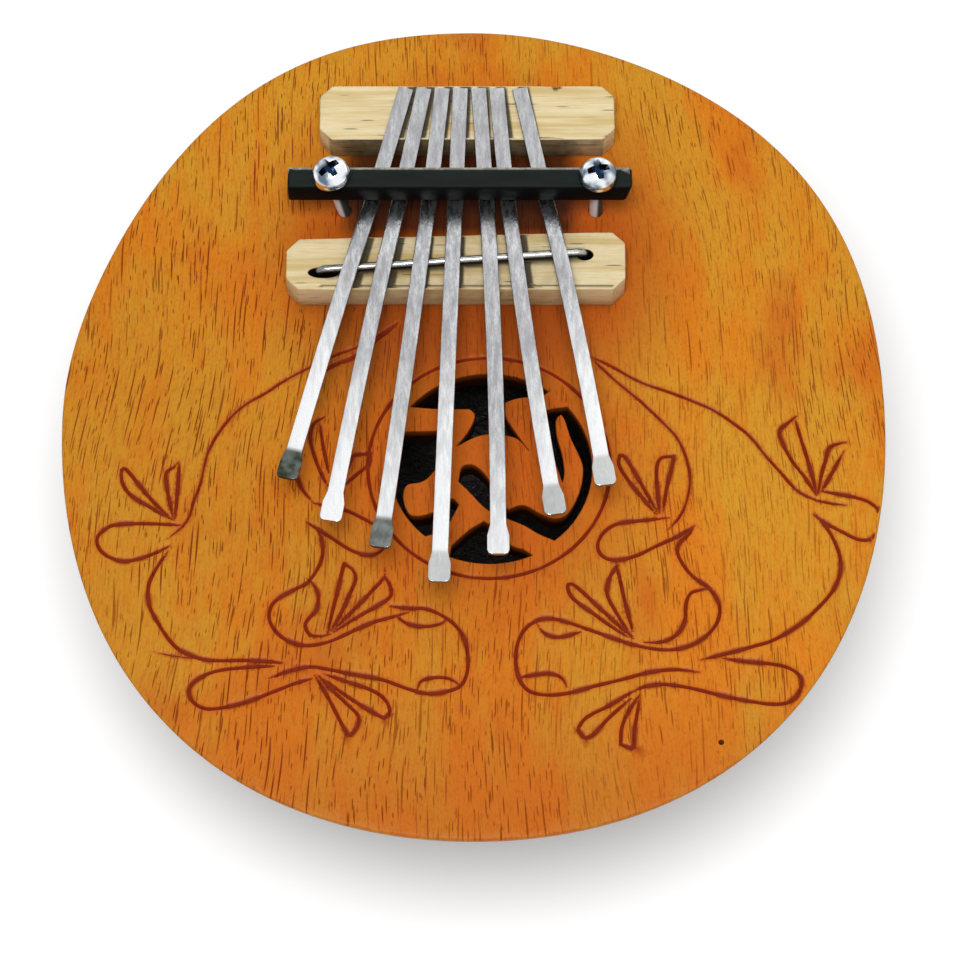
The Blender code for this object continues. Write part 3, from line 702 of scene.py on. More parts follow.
def plate(rim, holes, extra, drop=None):
    """Points and faces of a closed plate, and the number of points on its top.

    The rim and each hole are stacks of (loop, z) from the top down. Extra points lie on the top face, and drop
    gives how far the points of the top face sink.
    """
    stacks = [rim, *holes]
    top, faces, top_places = fill_loops([stack[0][0] for stack in stacks], extra)
    bottom, bottom_faces, bottom_places = fill_loops([stack[-1][0] for stack in stacks])
    sink = drop(top) if drop else np.zeros(len(top))
    points = [*np.column_stack([top, rim[0][1] - sink]),
              *np.column_stack([bottom, np.full(len(bottom), rim[-1][1])])]
    faces += [[i + len(top) for i in reversed(face)] for face in bottom_faces]
    start = 0
    for stack in stacks:
        count = len(stack[0][0])
        rows = [top_places[start:start + count]]
        for loop, z in stack[1:-1]:
            rows.append(range(len(points), len(points) + count))
            points += [(x, y, z) for x, y in loop]
        rows.append([i + len(top) for i in bottom_places[start:start + count]])
        faces += bands(rows)
        start += count
    return np.array(points), faces, len(top)


def cast(tree, start, direction):
    """Where a ray meets a merged shape, in millimetres."""
    hit = tree.ray_cast(Vector(start) * MM, Vector(direction))[0]
    if hit is None:
        raise RuntimeError(f"no surface on the ray from {start}")
    return hit / MM


# ---------------------------------------------------------------- soundboard


# Steps along a carved line, the thinner strokes by their number in both geckos, and the waver of the knife.
SAMPLE_STEP = 0.12
STATION_STEP = 0.45
STROKE_TAPER = 2.2
STROKE_END = 0.45
THIN_STROKES = {0: 0.75, 23: 0.5, 24: 0.8, 25: 0.75}
WAVERS = ((0.10, 0.55, 1), (0.06, 1.7, 2))
FULL_DEPTH = 1.25
HALO_REACH = 0.5

# Points of the top face: across and beside a line in half widths, the rest in millimetres.
ACROSS_GROOVE = (-1.0, -0.8, -0.45, 0.0, 0.45, 0.8, 1.0)
BESIDE_GROOVE = (-3.6, -2.0, 2.0, 3.6)
END_RINGS = (0.3, 0.7, 1.2)
END_RING_POINTS = 10
CLOSEST_POINTS = 0.13
GRID_STEP = 2.0
GRID_CLEARANCE = 1.6
EDGE_CLEARANCE = 0.35
PIN_CLEARANCE = 0.3

# Rim and openings.
BOX_CLEARANCE = 0.005
RIM_STEP = 1.0
RIM_ARC = (0, 30, 60, 90)
RIM_WALL = ((0.18, 0.45), (0.5, 0.75), (0.8, 0.92), (1.0, 1.0))
RIM_UNDERCUT = 0.9
HOLE_STEP = 0.5
HOLE_EASE = 0.14
SCREW_HOLE_AREA = 12
SCREW_GRIP = 0.3
PIN_POINTS = 16
CORE_INSET = 1.0

# Stain: layers of long pores, the redder zones as centre, reach and steepness, and how red each zone is.
PORE_LAYERS = ((1.2, 0.03, 0.07, 0.4), (1.7, 0.055, 0.08, 0.32), (1.9, 0.1, 0.09, 0.28), (2.2, 0.16, 0.09, 0.24))
REAR_FLUSH = ((0.0, 28.0), 32.0, 6)
RING_FLUSH = (RING_CENTRE, 26.0, 4)
FRONT_FLUSH = (-42.0, -22.0)
FLUSH_TONES = (0.95, 0.85, 0.45)

# Zones of painted shade: under and behind the bar, in the tines' shadows and at the front bridge's foot, with more
# between the bridges; how dark, then their middle, half width and soft edge across.
UNDER_TINES = (0.9, *TINE_ZONE)
TINE_FAN = (0.4, -4.0, 22.0, 3.0)
BRIDGE_FOOT = (0.5, -3.0, 26.5, 1.5)
FAN_START = (-6.0, 24.0)
SHADE_REACH = 5.0
SHADE_RISE = 4.0
UNDER_BRIDGE = 3.0
UNDER_BRIDGE_FADE = 2.0
FOOT_REACH = 2.5
REAR_SHADE = 0.17

# Painted shade on the hole walls: how dark at their upper edge, and how much darker at the underside.
WALL_TONES = (0.35, 2.0)


class Carving:
    """Carved lines on the board: where they run, how wide they are and how deep they cut."""

    def __init__(self, settings):
        half = settings.groove_width / MM / 2
        ring = circle(RING_CENTRE, RING_RADIUS, RING_POINTS)
        self.lines = [(smooth_course(ring, SAMPLE_STEP, closed=True), settings.ring_width / MM / 2, True)]
        self.lines += [(smooth_course(stroke, SAMPLE_STEP), half * THIN_STROKES.get(number, 1.0), False)
                       for number, stroke in enumerate(LEFT_GECKO + RIGHT_GECKO)]
        samples = np.concatenate([line for line, _, _ in self.lines])
        self.half_widths = np.concatenate([self.widths(number, *line) for number, line in enumerate(self.lines)])
        self.tree = kdtree.KDTree(len(samples))
        for i, (x, y) in enumerate(samples):
            self.tree.insert((x, y, 0), i)
        self.tree.balance()

    @staticmethod
    def widths(number, line, width, closed):
        """Half widths along a line: it wavers a little, and the knife lifts at the ends."""
        run = np.arange(len(line)) * SAMPLE_STEP
        widths = width * (1 + sum(size * np.sin(run * rate + turn * number) for size, rate, turn in WAVERS))
        if closed:
            return widths
        lift = np.clip(np.minimum(run, run[::-1]) / STROKE_TAPER, 0, 1)
        return widths * (STROKE_END + (1 - STROKE_END) * lift)

    def points(self):
        """Points across and beside the lines, none closer than the closest spacing."""
        taken, kept = {}, []

        def offer(point):
            cell = tuple(np.floor(point / CLOSEST_POINTS).astype(int))
            near = [taken[key] for dx in (-1, 0, 1) for dy in (-1, 0, 1)
                    if (key := (cell[0] + dx, cell[1] + dy)) in taken]
            if all(math.dist(point, other) > CLOSEST_POINTS for other in near):
                taken[cell] = point
                kept.append(point)

        every = max(1, round(STATION_STEP / SAMPLE_STEP))
        start = 0
        for line, _, _ in self.lines:
            along = np.gradient(line, axis=0)
            across = unit(np.stack([-along[:, 1], along[:, 0]], axis=1))
            for station in range(0, len(line), every):
                half = self.half_widths[start + station]
                offsets = ACROSS_GROOVE + (BESIDE_GROOVE if station % (2 * every) == 0 else ())
                for offset in sorted(offsets, key=abs):
                    offer(line[station] + across[station] * half * offset)
            start += len(line)
        for line, _, closed in self.lines:
            for end in () if closed else (line[0], line[-1]):
                for radius in END_RINGS:
                    for point in circle(end, radius, END_RING_POINTS):
                        offer(point)
        return np.array(kept)

    def measure(self, points):
        """Share of the full depth at each point, and how far each lies outside the nearest line."""
        shares, gaps = np.zeros(len(points)), np.zeros(len(points))
        reach = float(self.half_widths.max())
        for i, (x, y) in enumerate(points):
            _, nearest, distance = self.tree.find((x, y, 0))
            gaps[i] = distance - self.half_widths[nearest]
            for _, sample, away in self.tree.find_range((x, y, 0), reach):
                share = 1 - (away / self.half_widths[sample]) ** 2
                shares[i] = max(shares[i], share * min(1.0, self.half_widths[sample] / reach * FULL_DEPTH))
        return shares, gaps


def stained_wood(settings):
    finish = Finish("stained wood", settings.honey)
    spot = finish.add("ShaderNodeSeparateXYZ", {0: finish.place}).outputs
    lean = finish.math("MULTIPLY", spot["Y"], finish.span(spot["X"], -60.0, 60.0, -0.07, 0.08))
    sway = finish.span(finish.noise((0.03, 0.022, 0.02), 1.0), 0.2, 0.8, -1.6, 1.6)
    shift = finish.add("ShaderNodeCombineXYZ", {"X": finish.math("ADD", sway, lean)}).outputs[0]
    grain = finish.vector("ADD", finish.place, shift)
    broad = finish.noise((0.14, 0.022, 0.05), 4.0, 0.7, grain)
    gold = finish.math("ADD", finish.noise((0.05, 0.036, 0.03), 3.0),
                       finish.span(spot["X"], -60.0, 20.0, -0.1, 0.02))
    finish.lay(settings.amber, finish.span(finish.math("ADD", broad, gold), 0.82, 1.18))
    patches = finish.span(finish.noise((0.07, 0.045, 0.03), 4.0, vector=grain), 0.5, 0.74, 0.0, 0.6)
    finish.lay(settings.rust, finish.math("MAXIMUM", patches, finish.attribute("flush")))
    fibre = finish.noise((3.6, 0.3, 1.0), 4.0, 0.75, grain)
    finish.lay(settings.rust, finish.span(fibre, 0.42, 0.7, 0.0, 0.5))
    flecks = finish.noise((2.6, 1.3, 1.0), 3.0, 0.7, grain)
    finish.lay(settings.pore, finish.span(flecks, 0.5, 0.68, 0.0, 0.24))
    # The pore tone also darkens the board towards the front left.
    finish.lay(settings.pore, finish.span(finish.math("ADD", spot["X"], spot["Y"]), -60.0, 30.0, 0.18, 0.0))
    crowd = finish.span(finish.noise((0.06, 0.04, 0.03)), 0.34, 0.6, 0.4, 0.8)
    crowd = finish.math("ADD", crowd, finish.span(spot["X"], -50.0, 20.0, 0.3, 0.0), clamp=True)
    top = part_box("soundboard")[1].z / MM
    on_top = finish.span(spot["Z"], top - 0.9, top - 0.4)
    pores = finish.math("MULTIPLY", finish.dashes((1.7, 0.33, 0.6), 0.1, 0.1, 0.7, grain), 0.75)
    for across, along, width, keep in PORE_LAYERS:
        layer = finish.dashes((across, along, 0.3), width, 0.1, keep, grain, "2D")
        pores = finish.math("MAXIMUM", pores, finish.math("MULTIPLY", layer, on_top))
    pores = finish.math("MULTIPLY", pores, crowd)
    finish.lay(settings.pore, finish.math("MULTIPLY", pores, 0.95))
    # Painted shade under and behind the bar, in the tines' shadows, at the front bridge's foot and between the
    # bridges.
    finish.lay(settings.shade, finish.attribute("soil"))
    ragged = finish.span(finish.noise(1.6), 0.3, 0.7, 0.35, 0.9)
    finish.lay(settings.rust, finish.math("MULTIPLY", finish.attribute("halo"), ragged))
    groove = finish.attribute("groove")
    finish.lay(settings.carved, finish.span(groove, 0.0, 0.55))
    worn = finish.span(finish.noise(0.25, 3.0), 0.45, 0.6, 0.0, 0.3)
    finish.lay(settings.honey, finish.math("MULTIPLY", finish.attribute("rim"), worn))
    # Painted shade on the hole walls, darker further down.
    finish.lay(settings.shade, finish.attribute("wall"))
    roughness = finish.span(finish.math("ADD", pores, groove), 0.0, 1.0, 0.42, 0.75)
    height = finish.math("SUBTRACT", finish.math("MULTIPLY", fibre, 0.35), pores)
    return finish.close(roughness, height, 0.0001, specular=0.12)


def board_marks(points, flat, carving, core):
    """Carved lines, redder zones, zones of painted shade, rim and hole walls with painted shade; the core is the
    board less its rim.
    """
    x, y, z = points.T
    low, high = box("soundboard")
    on_top = np.arange(len(points)) < flat
    within = inside(points[:, :2], core)
    sunk = rise(z, high.z, low.z - high.z)
    shares, gaps = carving.measure(points[:, :2])
    flushes = (glow(x, y, *REAR_FLUSH), glow(x, y, *RING_FLUSH), rise(y, *FRONT_FLUSH))
    bar_y, rear_y, front_y = (box(node)[0].y for node in ("pressure_bar", "rear_bridge", "front_bridge"))
    under_rear, under_front = (rise(y, foot + UNDER_BRIDGE, -UNDER_BRIDGE_FADE) for foot in (rear_y, front_y))
    # Zones of painted shade, each with how far it reaches from front to back.
    shade_zones = [(UNDER_TINES, rise(y, bar_y - SHADE_REACH, SHADE_RISE) * under_rear),
             (TINE_FAN, rise(y, *FAN_START) * under_front),
             (BRIDGE_FOOT, rise(y, front_y - FOOT_REACH, FOOT_REACH) * (y < front_y + UNDER_BRIDGE))]
    darkened = [dark * zone(x, *across) * ahead for (dark, *across), ahead in shade_zones]
    upper_wall, darkening = WALL_TONES
    return {
        "groove": shares * on_top,
        "halo": np.clip(1 - gaps / HALO_REACH, 0, 1) ** 2 * on_top,
        "flush": np.max([tone * flush for tone, flush in zip(FLUSH_TONES, flushes)], axis=0),
        # Painted shade under and behind the bar, in the tines' shadows, at the front bridge's foot and between the
        # bridges.
        "soil": np.max([*darkened, REAR_SHADE * flushes[0]], axis=0),
        "rim": ~on_top & ~within,
        # Painted shade on the hole walls.
        "wall": np.clip(upper_wall + darkening * sunk, 0, 1) * (~on_top & within),
    }


def make_soundboard(settings):
    low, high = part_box("soundboard")
    top, bottom = high.z / MM, low.z / MM
    outline, *top_holes = flat_loops("soundboard", high.z)
    bottom_holes = flat_loops("soundboard", low.z)[1:]
    inset = high.x / MM - outline[:, 0].max()
    outline = smooth_course(offset_loop(outline, inset - BOX_CLEARANCE), RIM_STEP, closed=True)
    turn, foot = settings.rim_round / MM, inset + RIM_UNDERCUT
    rim = [(offset_loop(outline, -turn * (1 - math.sin(a))), top - turn * (1 - math.cos(a)))
           for a in np.radians(RIM_ARC)]
    rim += [(offset_loop(outline, -foot * share), top + (bottom - top) * depth) for share, depth in RIM_WALL]
    holes, clear = [], []
    for loop in top_holes:
        loop = offset_loop(loop, -SCREW_GRIP) if area(loop) < SCREW_HOLE_AREA else loop
        leans = [below.mean(axis=0) - loop.mean(axis=0) for below in bottom_holes]
        lean = min(leans, key=np.linalg.norm)
        course = smooth_course(loop, HOLE_STEP, closed=True, sharp=WINDOW_SHARP_TURN)
        clear.append(offset_loop(course, EDGE_CLEARANCE))
        holes.append([(offset_loop(course, HOLE_EASE), top), (course, top - HOLE_EASE),
                      (course + lean / 2, (top + bottom) / 2), (course + lean, bottom)])
    pin = circle(PIN_HOLE, settings.pin_hole / MM / 2, PIN_POINTS)
    clear.append(offset_loop(pin, PIN_CLEARANCE))
    holes.append([(pin, top), (pin, bottom)])
    carving = Carving(settings)
    grid = hex_grid(outline, GRID_STEP)
    extra = np.concatenate([carving.points(), grid[carving.measure(grid)[1] > GRID_CLEARANCE]])
    extra = extra[inside_less(extra, offset_loop(rim[0][0], -EDGE_CLEARANCE), clear)]
    depth = settings.groove_depth / MM
    points, faces, flat = plate(rim, holes, extra, lambda spots: carving.measure(spots)[0] * depth)
    marks = board_marks(points, flat, carving, offset_loop(outline, -foot - CORE_INSET))
    piece = mesh_piece("carved_soundboard", points, faces, sharp=42, **marks)
    settle(piece, stained_wood(settings), "stained_wood", RESONATOR, "soundboard")


# ---------------------------------------------------------------- coconut shell


SHELL_STEP = 1.2
SHELL_ROW = 1.1
SHELL_KNOTS = (1.0, 0.9, 0.78, 0.62, 0.46, 0.32, 0.2, 0.1, 0.04)
RIDGE_TURNS = (0.35, 2.5, 4.55)
RIDGE_HALF_WIDTH = 0.055
LUMP_SIZE = 9
GRIT_SIZE = 2.2
GRIT_HEIGHT = 0.08
FOOT_FADE = 4
RIM_FADE = 3

# How far the rays that read the solid keep off its rim and off its flat foot and floor.
RIM_MISS = 0.02
FLAT_MISS = 0.05

# Fibres: the bare strip by the foot, and the least and the most stretch across, along and in height.
FIBRE_FREE_HEIGHT = 4.0
FIBRE_STRETCH = ((0.6, 0.4, 0.5), (1.3, 1.5, 1.2))
FIBRE_SEED = 11
STRETCH_SEED = 3


def coconut(settings):
    finish = Finish("coconut shell", settings.skin)
    streaks = finish.noise((0.5, 0.5, 0.09), 4.0, 0.65)
    spots = finish.noise((1.1, 1.1, 0.22), 3.0)
    finish.lay(settings.skin_pale, finish.span(streaks, 0.38, 0.68))
    finish.lay(settings.inside, finish.span(spots, 0.52, 0.72, 0.0, 0.5))
    # Dark inner wall, darkened further as painted shade of the chamber seen through the openings.
    finish.lay(settings.inside, finish.attribute("inside"))
    roughness = finish.span(streaks, 0.3, 0.7, 0.38, 0.62)
    height = finish.math("ADD", streaks, finish.math("MULTIPLY", spots, 0.6))
    return finish.close(roughness, height, 0.0003, specular=0.4)


def fibre_maker():
    """Thin fibres scattered on the skin, lying along the run from rim to foot."""
    make = Maker("shell fibres", Density="Float", Length="Float", Width="Float", Seed="Int")
    given = make.given
    scatter = make.add("GeometryNodeDistributePointsOnFaces",
                       {"Mesh": given["Geometry"], "Seed": given["Seed"],
                        "Density": make.math("MULTIPLY", make.named("skin"), given["Density"])}).outputs
    normal = scatter["Normal"]
    downhill = make.vector("CROSS_PRODUCT", make.vector("CROSS_PRODUCT", normal, UP), normal)
    turned = make.add("FunctionNodeAlignRotationToVector",
                      {"Rotation": scatter["Rotation"], "Vector": downhill}, axis="Y", pivot_axis="Z").outputs[0]
    least, most = FIBRE_STRETCH
    stretch = make.add("FunctionNodeRandomValue", {0: least, 1: most, "Seed": STRETCH_SEED},
                       data_type="FLOAT_VECTOR").outputs[0]
    size = make.add("ShaderNodeCombineXYZ", {"X": given["Width"], "Y": given["Length"], "Z": given["Width"]})
    grain = make.add("GeometryNodeMeshIcoSphere", {"Radius": 0.5, "Subdivisions": 1}).outputs["Mesh"]
    placed = make.add("GeometryNodeInstanceOnPoints",
                      {"Points": scatter["Points"], "Instance": grain, "Rotation": turned,
                       "Scale": make.vector("MULTIPLY", size.outputs[0], stretch)})
    return make.close(placed.outputs[0])


def shell_courses(rim_z, reach):
    """Outer and inner profile of the shell from the rim down, as radius and height, read from its solid."""
    shape = merged_copy("coconut_shell")
    tree = BVHTree.FromBMesh(shape)
    shape.free()

    def radius(start, z):
        return cast(tree, (start, 0, z), (-1 if start else 1, 0, 0)).x

    floor = cast(tree, (0, 0, rim_z - 1), (0, 0, -1)).z
    outer = [(radius(2 * reach, share * (rim_z - RIM_MISS) + RIM_MISS / 2), share * rim_z) for share in SHELL_KNOTS]
    outer.append((radius(2 * reach, FLAT_MISS), 0.0))
    depth = rim_z - floor - (FLAT_MISS + RIM_MISS)
    inner = [(radius(0, z), z) for z in (floor + FLAT_MISS + share * depth for share in SHELL_KNOTS)]
    return floor, *(smooth_course(course, SHELL_ROW, sharp=math.pi) for course in (outer, inner))


def make_shell(settings):
    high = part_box("coconut_shell")[1]
    rim_z = high.z / MM
    rim = smooth_course(flat_loops("coconut_shell", high.z)[0], SHELL_STEP, closed=True)
    reach, count = rim[:, 0].max(), len(rim)
    turns = np.arctan2(rim[:, 1], rim[:, 0])
    floor, outer, inner = shell_courses(rim_z, reach)
    outer[0, 1] = inner[0, 1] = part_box("soundboard")[0].z / MM
    rows = [(*row, 1) for row in inner[::-1]] + [(*row, 0) for row in outer]
    points, walls, skins = [], [], []
    for radius, z, wall in rows:
        fade = min(1.0, z / FOOT_FADE, (rim_z - z) / RIM_FADE) * (1 - wall)
        for (x, y), turn in zip(rim * (radius / reach), turns):
            spot = Vector((x, y, z))
            away = min(abs((turn - ridge + math.pi) % math.tau - math.pi) for ridge in RIDGE_TURNS)
            lift = settings.ridge / MM * (math.exp(-(away / RIDGE_HALF_WIDTH) ** 2) - 1)
            lift += settings.lumps / MM * noise.noise(spot / LUMP_SIZE) + GRIT_HEIGHT * noise.noise(spot / GRIT_SIZE)
            points.append(spot + Vector((x, y, z - rim_z)).normalized() * lift * fade)
        walls += [wall] * count
        skins += [not wall and FIBRE_FREE_HEIGHT < z < rim_z] * count
    rings = [range(start, start + count) for start in range(0, len(points), count)]
    faces = bands(rings)
    faces += [((i + 1) % count, i, len(points)) for i in range(count)]
    faces += [(rings[-1][i], rings[-1][(i + 1) % count], len(points) + 1) for i in range(count)]
    points += [Vector((0, 0, floor)), Vector((0, 0, 0))]
    finish = coconut(settings)
    piece = mesh_piece("coconut_half", points, faces, sharp=45, inside=[*walls, 1, 0], skin=[*skins, 0, 0])
    fibres = fibre_maker().run("coconut_fibres", piece.data.copy(), Density=settings.fibre_density,
                               Length=settings.fibre_length, Width=settings.fibre_width, Seed=FIBRE_SEED,
                               Material=finish)
    tidy_mesh(fibres.data)
    settle(piece, finish, "coconut", RESONATOR, "coconut_shell")
    settle(fibres, finish, "coconut", RESONATOR)


# ---------------------------------------------------------------- bridges and saddle wire


# Place, half width and depth of the nick and of the scored line; shift, reach across and reach along of the slots.
NICK = (13.4, 0.8, 0.3)
NICK_DROP = 1.0
NICK_STRIP = 1.5
SCORE = (0.75, 0.22, 0.16)
LEFT_SLOT = (0.8, 2.5, 0.95)
RIGHT_SLOT = (0.1, 1.3, 0.95)
SLOT_EASE = 0.12
SLOT_POINTS = 28
CORNER_ROUND = 0.35
OUTLINE_STEP = 0.5
WAVER_SIZE = 5
WAVER_LAYERS = (1, 7)

# The eased edge as insets and drops in shares of its width; the foot's inset and rise.
EASED_EDGE = ((1, 0), (0.45, 0.12), (0.12, 0.45), (0, 1))
EASED_FOOT = (0.12, 0.25)

# Points of a bridge's top: their spacing, the lines beside a tine, and how far others keep off these and the edges.
BRIDGE_GRID = 0.6
BESIDE_TINE = (0.0, 0.33, 0.68)
LINE_CLEARANCE = 0.5
SCORE_CLEARANCE = 1.5
ON_SCORE = 0.01
RIM_CLEARANCE = 0.25
SLOT_CLEARANCE = 0.3
FAR = 99.0

# Grime and painted shade: the height above the foot over which the wood darkens towards the foot, then how dark it is
# there, all over the front bridge as grime, and by the tines on it as painted shade.
FOOT_DARKENING_HEIGHT = 1.6
GRIME_AND_SHADE_TONES = (0.2, 0.12, 0.35)

# Painted shade: its darkest tone, the strength and reach of the painted shadows, where it starts on the front face
# and in the nick, how much less of it there is than of the grime and painted shade, and the depth at which the scored
# line is black.
DARKEST = 0.9
TINE_SHADOW = (1.9, 0.36)
WIRE_SHADOW = (2.2, 0.6)
FACE_STRIP = 0.3
DENT_STRIP = 0.6
SHADE_LESS = 0.1
BLACK_SCORE = 0.2

# Saddle wire: its bend, in radii of the wire and in degrees, its underside painted dark as shade by the slope, and
# the painted shade on its left end in the slot as tone, reach and fade.
BEND_RADII = 1.9
BEND_ARC = range(0, 91, 15)
WIRE_UNDERSIDE = (0.8, -0.4)
WIRE_END = (0.5, 3.6, -1)

# Reading a tine: points this close along it share a cross section, with a least count, width and thickness.
SECTION_SPREAD = 0.02
LEAST_SECTION = (4, 1.0, 0.3)


def pale_wood(settings):
    finish = Finish("pale wood", settings.pale)
    finish.lay(settings.straw, finish.span(finish.noise((0.03, 0.5, 0.4), 4.0, 0.6), 0.4, 0.68))
    fibre = finish.noise((0.14, 3.4, 2.6), 4.0, 0.7)
    finish.lay(settings.straw, finish.span(fibre, 0.45, 0.72, 0.0, 0.75))
    long_pores = finish.dashes((0.035, 1.0, 0.9), 0.06, 0.06, 0.85)
    short_pores = finish.dashes((0.12, 1.7, 1.5), 0.11, 0.1, 0.7)
    pores = finish.math("MAXIMUM", long_pores, finish.math("MULTIPLY", short_pores, 0.8))
    finish.lay(settings.pore, finish.math("MULTIPLY", pores, 0.85))
    # Grime, with painted shade on the faces under the bar and between the tines, and darker towards the foot.
    uneven = finish.span(finish.noise(0.5, 3.0), 0.35, 0.7, 0.6, 1.0)
    finish.lay(settings.stain, finish.math("MULTIPLY", finish.attribute("grime"), uneven))
    # Painted shade by the tines, under the wire, in the holes and the nick, and black in the scored line.
    finish.lay(settings.shade, finish.attribute("shade"))
    roughness = finish.span(fibre, 0.3, 0.8, 0.55, 0.8)
    height = finish.math("SUBTRACT", finish.math("MULTIPLY", fibre, 0.5), pores)
    return finish.close(roughness, height, 0.0001, specular=0.15)


@functools.cache
def tine_course(number):
    """Way forwards of a tine and its cross sections, read from its two solids.

    Each section has its run, its middle, its half width and its half thickness.
    """
    forward = np.array(JOINTS[f"tine_{number}_tune"]["axis"], float)
    right = np.array((-forward[1], forward[0], 0.0))
    spots = node_spots(f"tine_{number}_tail", f"tine_{number}_tongue")
    runs = spots @ forward
    groups = []
    for i in np.argsort(runs):
        if groups and abs(runs[i] - groups[-1][0]) < SECTION_SPREAD:
            groups[-1][1].append(spots[i])
        else:
            groups.append((runs[i], [spots[i]]))
    sections = []
    for run, corners in groups:
        corners = np.array(corners)
        across, thick = np.ptp(corners @ right), np.ptp(corners[:, 2])
        if all(size >= least for size, least in zip((len(corners), across, thick), LEAST_SECTION)):
            sections.append((run, corners.mean(axis=0), across / 2, thick / 2))
    return forward, sections


def tine_edges():
    """Middle of each tine's rear end, its ways to the right and forwards, and its half width there."""
    for number in TINES:
        forward, sections = tine_course(number)
        _, middle, half, _ = sections[0]
        yield middle[:2], np.array((-forward[1], forward[0])), forward[:2], half


def tine_gaps(points):
    """How far each point lies to the right of the nearest tine's right edge; below 0 under that tine."""
    gaps = []
    for middle, right, _, half in tine_edges():
        gap = (points[:, :2] - middle) @ right - half
        gaps.append(np.where(gap > -half, gap, FAR))
    return np.min(gaps, axis=0)


def beside_tines(low, high):
    """Points on the lines that run along the right edges of the tines, between two depths."""
    starts = [(middle + right * (half + gap), forward) for middle, right, forward, half in tine_edges()
              for gap in BESIDE_TINE]
    return np.array([start + forward * (y - start[1]) / forward[1] for start, forward in starts
                     for y in np.arange(low, high, BRIDGE_GRID)])


def shadow(gaps, strength, reach):
    """Darkest close by, and none from a gap of the strength times the reach."""
    return DARKEST * np.clip(strength - gaps / reach, 0, 1)


def wire_shade(points, holes):
    """Shade under the wire that runs from hole to hole."""
    left, right = (hole.mean(axis=0) for hole in holes)
    reach = np.linalg.norm(right - left)
    along = (right - left) / reach
    away = np.abs((points[:, :2] - left) @ (-along[1], along[0]))
    between = np.abs((points[:, :2] - (left + right) / 2) @ along) < reach / 2
    return between * shadow(away, *WIRE_SHADOW)


def bridge_block(name, node, settings, finish, darkened, holes=(), nick=None, score=None):
    """Hand-cut block with eased edges, seated on the board."""
    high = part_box(node)[1]
    top, foot = high.z / MM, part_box("soundboard")[1].z / MM
    outline = flat_loops(node, high.z)[0]
    outline = offset_loop(outline, high.x / MM - outline[:, 0].max())
    outline = straight_course(rounded_corners(outline, CORNER_ROUND), OUTLINE_STEP)
    outline += [[settings.waver / MM * noise.noise((x / WAVER_SIZE, y / WAVER_SIZE, layer))
                 for layer in WAVER_LAYERS] for x, y in outline]
    (side, back), front = outline.max(axis=0), outline[:, 1].min()
    edge = settings.edge / MM
    levels = [(edge * inset, top - edge * drop) for inset, drop in EASED_EDGE]
    stack = []
    for inset, z in (*levels, (0, (top + foot) / 2), (0, foot + EASED_FOOT[1]), (EASED_FOOT[0], foot)):
        loop = offset_loop(outline, -inset)
        if nick and z > top - NICK_DROP:
            place, half, depth = nick
            loop[:, 1] -= depth * zone(loop[:, 0], place, half, half) ** 0.5 * (loop[:, 1] > back - NICK_STRIP)
        stack.append((loop, z))
    walls = [[(offset_loop(hole, SLOT_EASE), top), (hole, top - SLOT_EASE), (hole, foot)] for hole in holes]
    grid = hex_grid(outline, BRIDGE_GRID)
    grid = grid[np.abs(tine_gaps(grid) - BESIDE_TINE[1]) > LINE_CLEARANCE]
    grid = np.concatenate([grid, beside_tines(front, back)])
    if score:
        line, half = front + score[0], score[1]
        grid = grid[np.abs(grid[:, 1] - line) > SCORE_CLEARANCE * half]
        grid = np.concatenate([grid, [(x, line + shift) for shift in (-half, 0.0, half)
                                      for x in np.arange(-side, side, BRIDGE_GRID)]])
    clear = [offset_loop(hole, SLOT_CLEARANCE) for hole in holes]
    grid = grid[inside_less(grid, offset_loop(stack[0][0], -RIM_CLEARANCE), clear)]

    def scored(spots):
        return score[2] * (np.abs(spots[:, 1] - line) < ON_SCORE) if score else np.zeros(len(spots))

    points, faces, flat = plate(stack, walls, grid, scored)
    x, y, z = points.T
    # Painted shade on the front faces between the tines, painted shadows of the tines and the wire, grime all over
    # the front bridge, and darker towards the foot.
    facing = (y < front + FACE_STRIP) & (z < top - edge / 2)
    soil = zone(x, *TINE_ZONE)
    at_foot, all_over, by_tines = GRIME_AND_SHADE_TONES
    grime = at_foot * rise(z, foot + FOOT_DARKENING_HEIGHT, -FOOT_DARKENING_HEIGHT) ** 2 + darkened * facing
    shade = soil * (darkened - SHADE_LESS) * facing
    surface = points[:flat]
    shade[:flat] = np.maximum(shadow(tine_gaps(surface), *TINE_SHADOW), scored(surface) / BLACK_SCORE)
    for hole in holes:
        shade = np.maximum(shade, inside(points[:, :2], offset_loop(hole, SLOT_EASE / 2)))
    if holes:
        shade[:flat] = np.maximum(shade[:flat], wire_shade(surface, holes))
        grime = np.maximum(grime, np.maximum(all_over, by_tines * soil))
    if nick:
        dent = (np.abs(x - nick[0]) < nick[1]) & (y > back - DENT_STRIP) & (z > top - edge)
        shade = np.maximum(shade, DARKEST * dent)
    piece = mesh_piece(name, points, faces, sharp=35, grime=grime, shade=shade)
    settle(piece, finish, "pale_wood", RESONATOR, node)


def wire_course():
    """Feet of the saddle wire, the height of its middle line and its radius, read from its solid."""
    low, high = box("saddle_wire")
    spots = node_spots("saddle_wire")
    feet = spots[spots[:, 2] < low.z + 0.01]
    left, right = feet[feet[:, 0] < 0], feet[feet[:, 0] > 0]
    radius = np.ptp(left[:, 0]) / 2
    return left.mean(axis=0), right.mean(axis=0), high.z - radius, radius


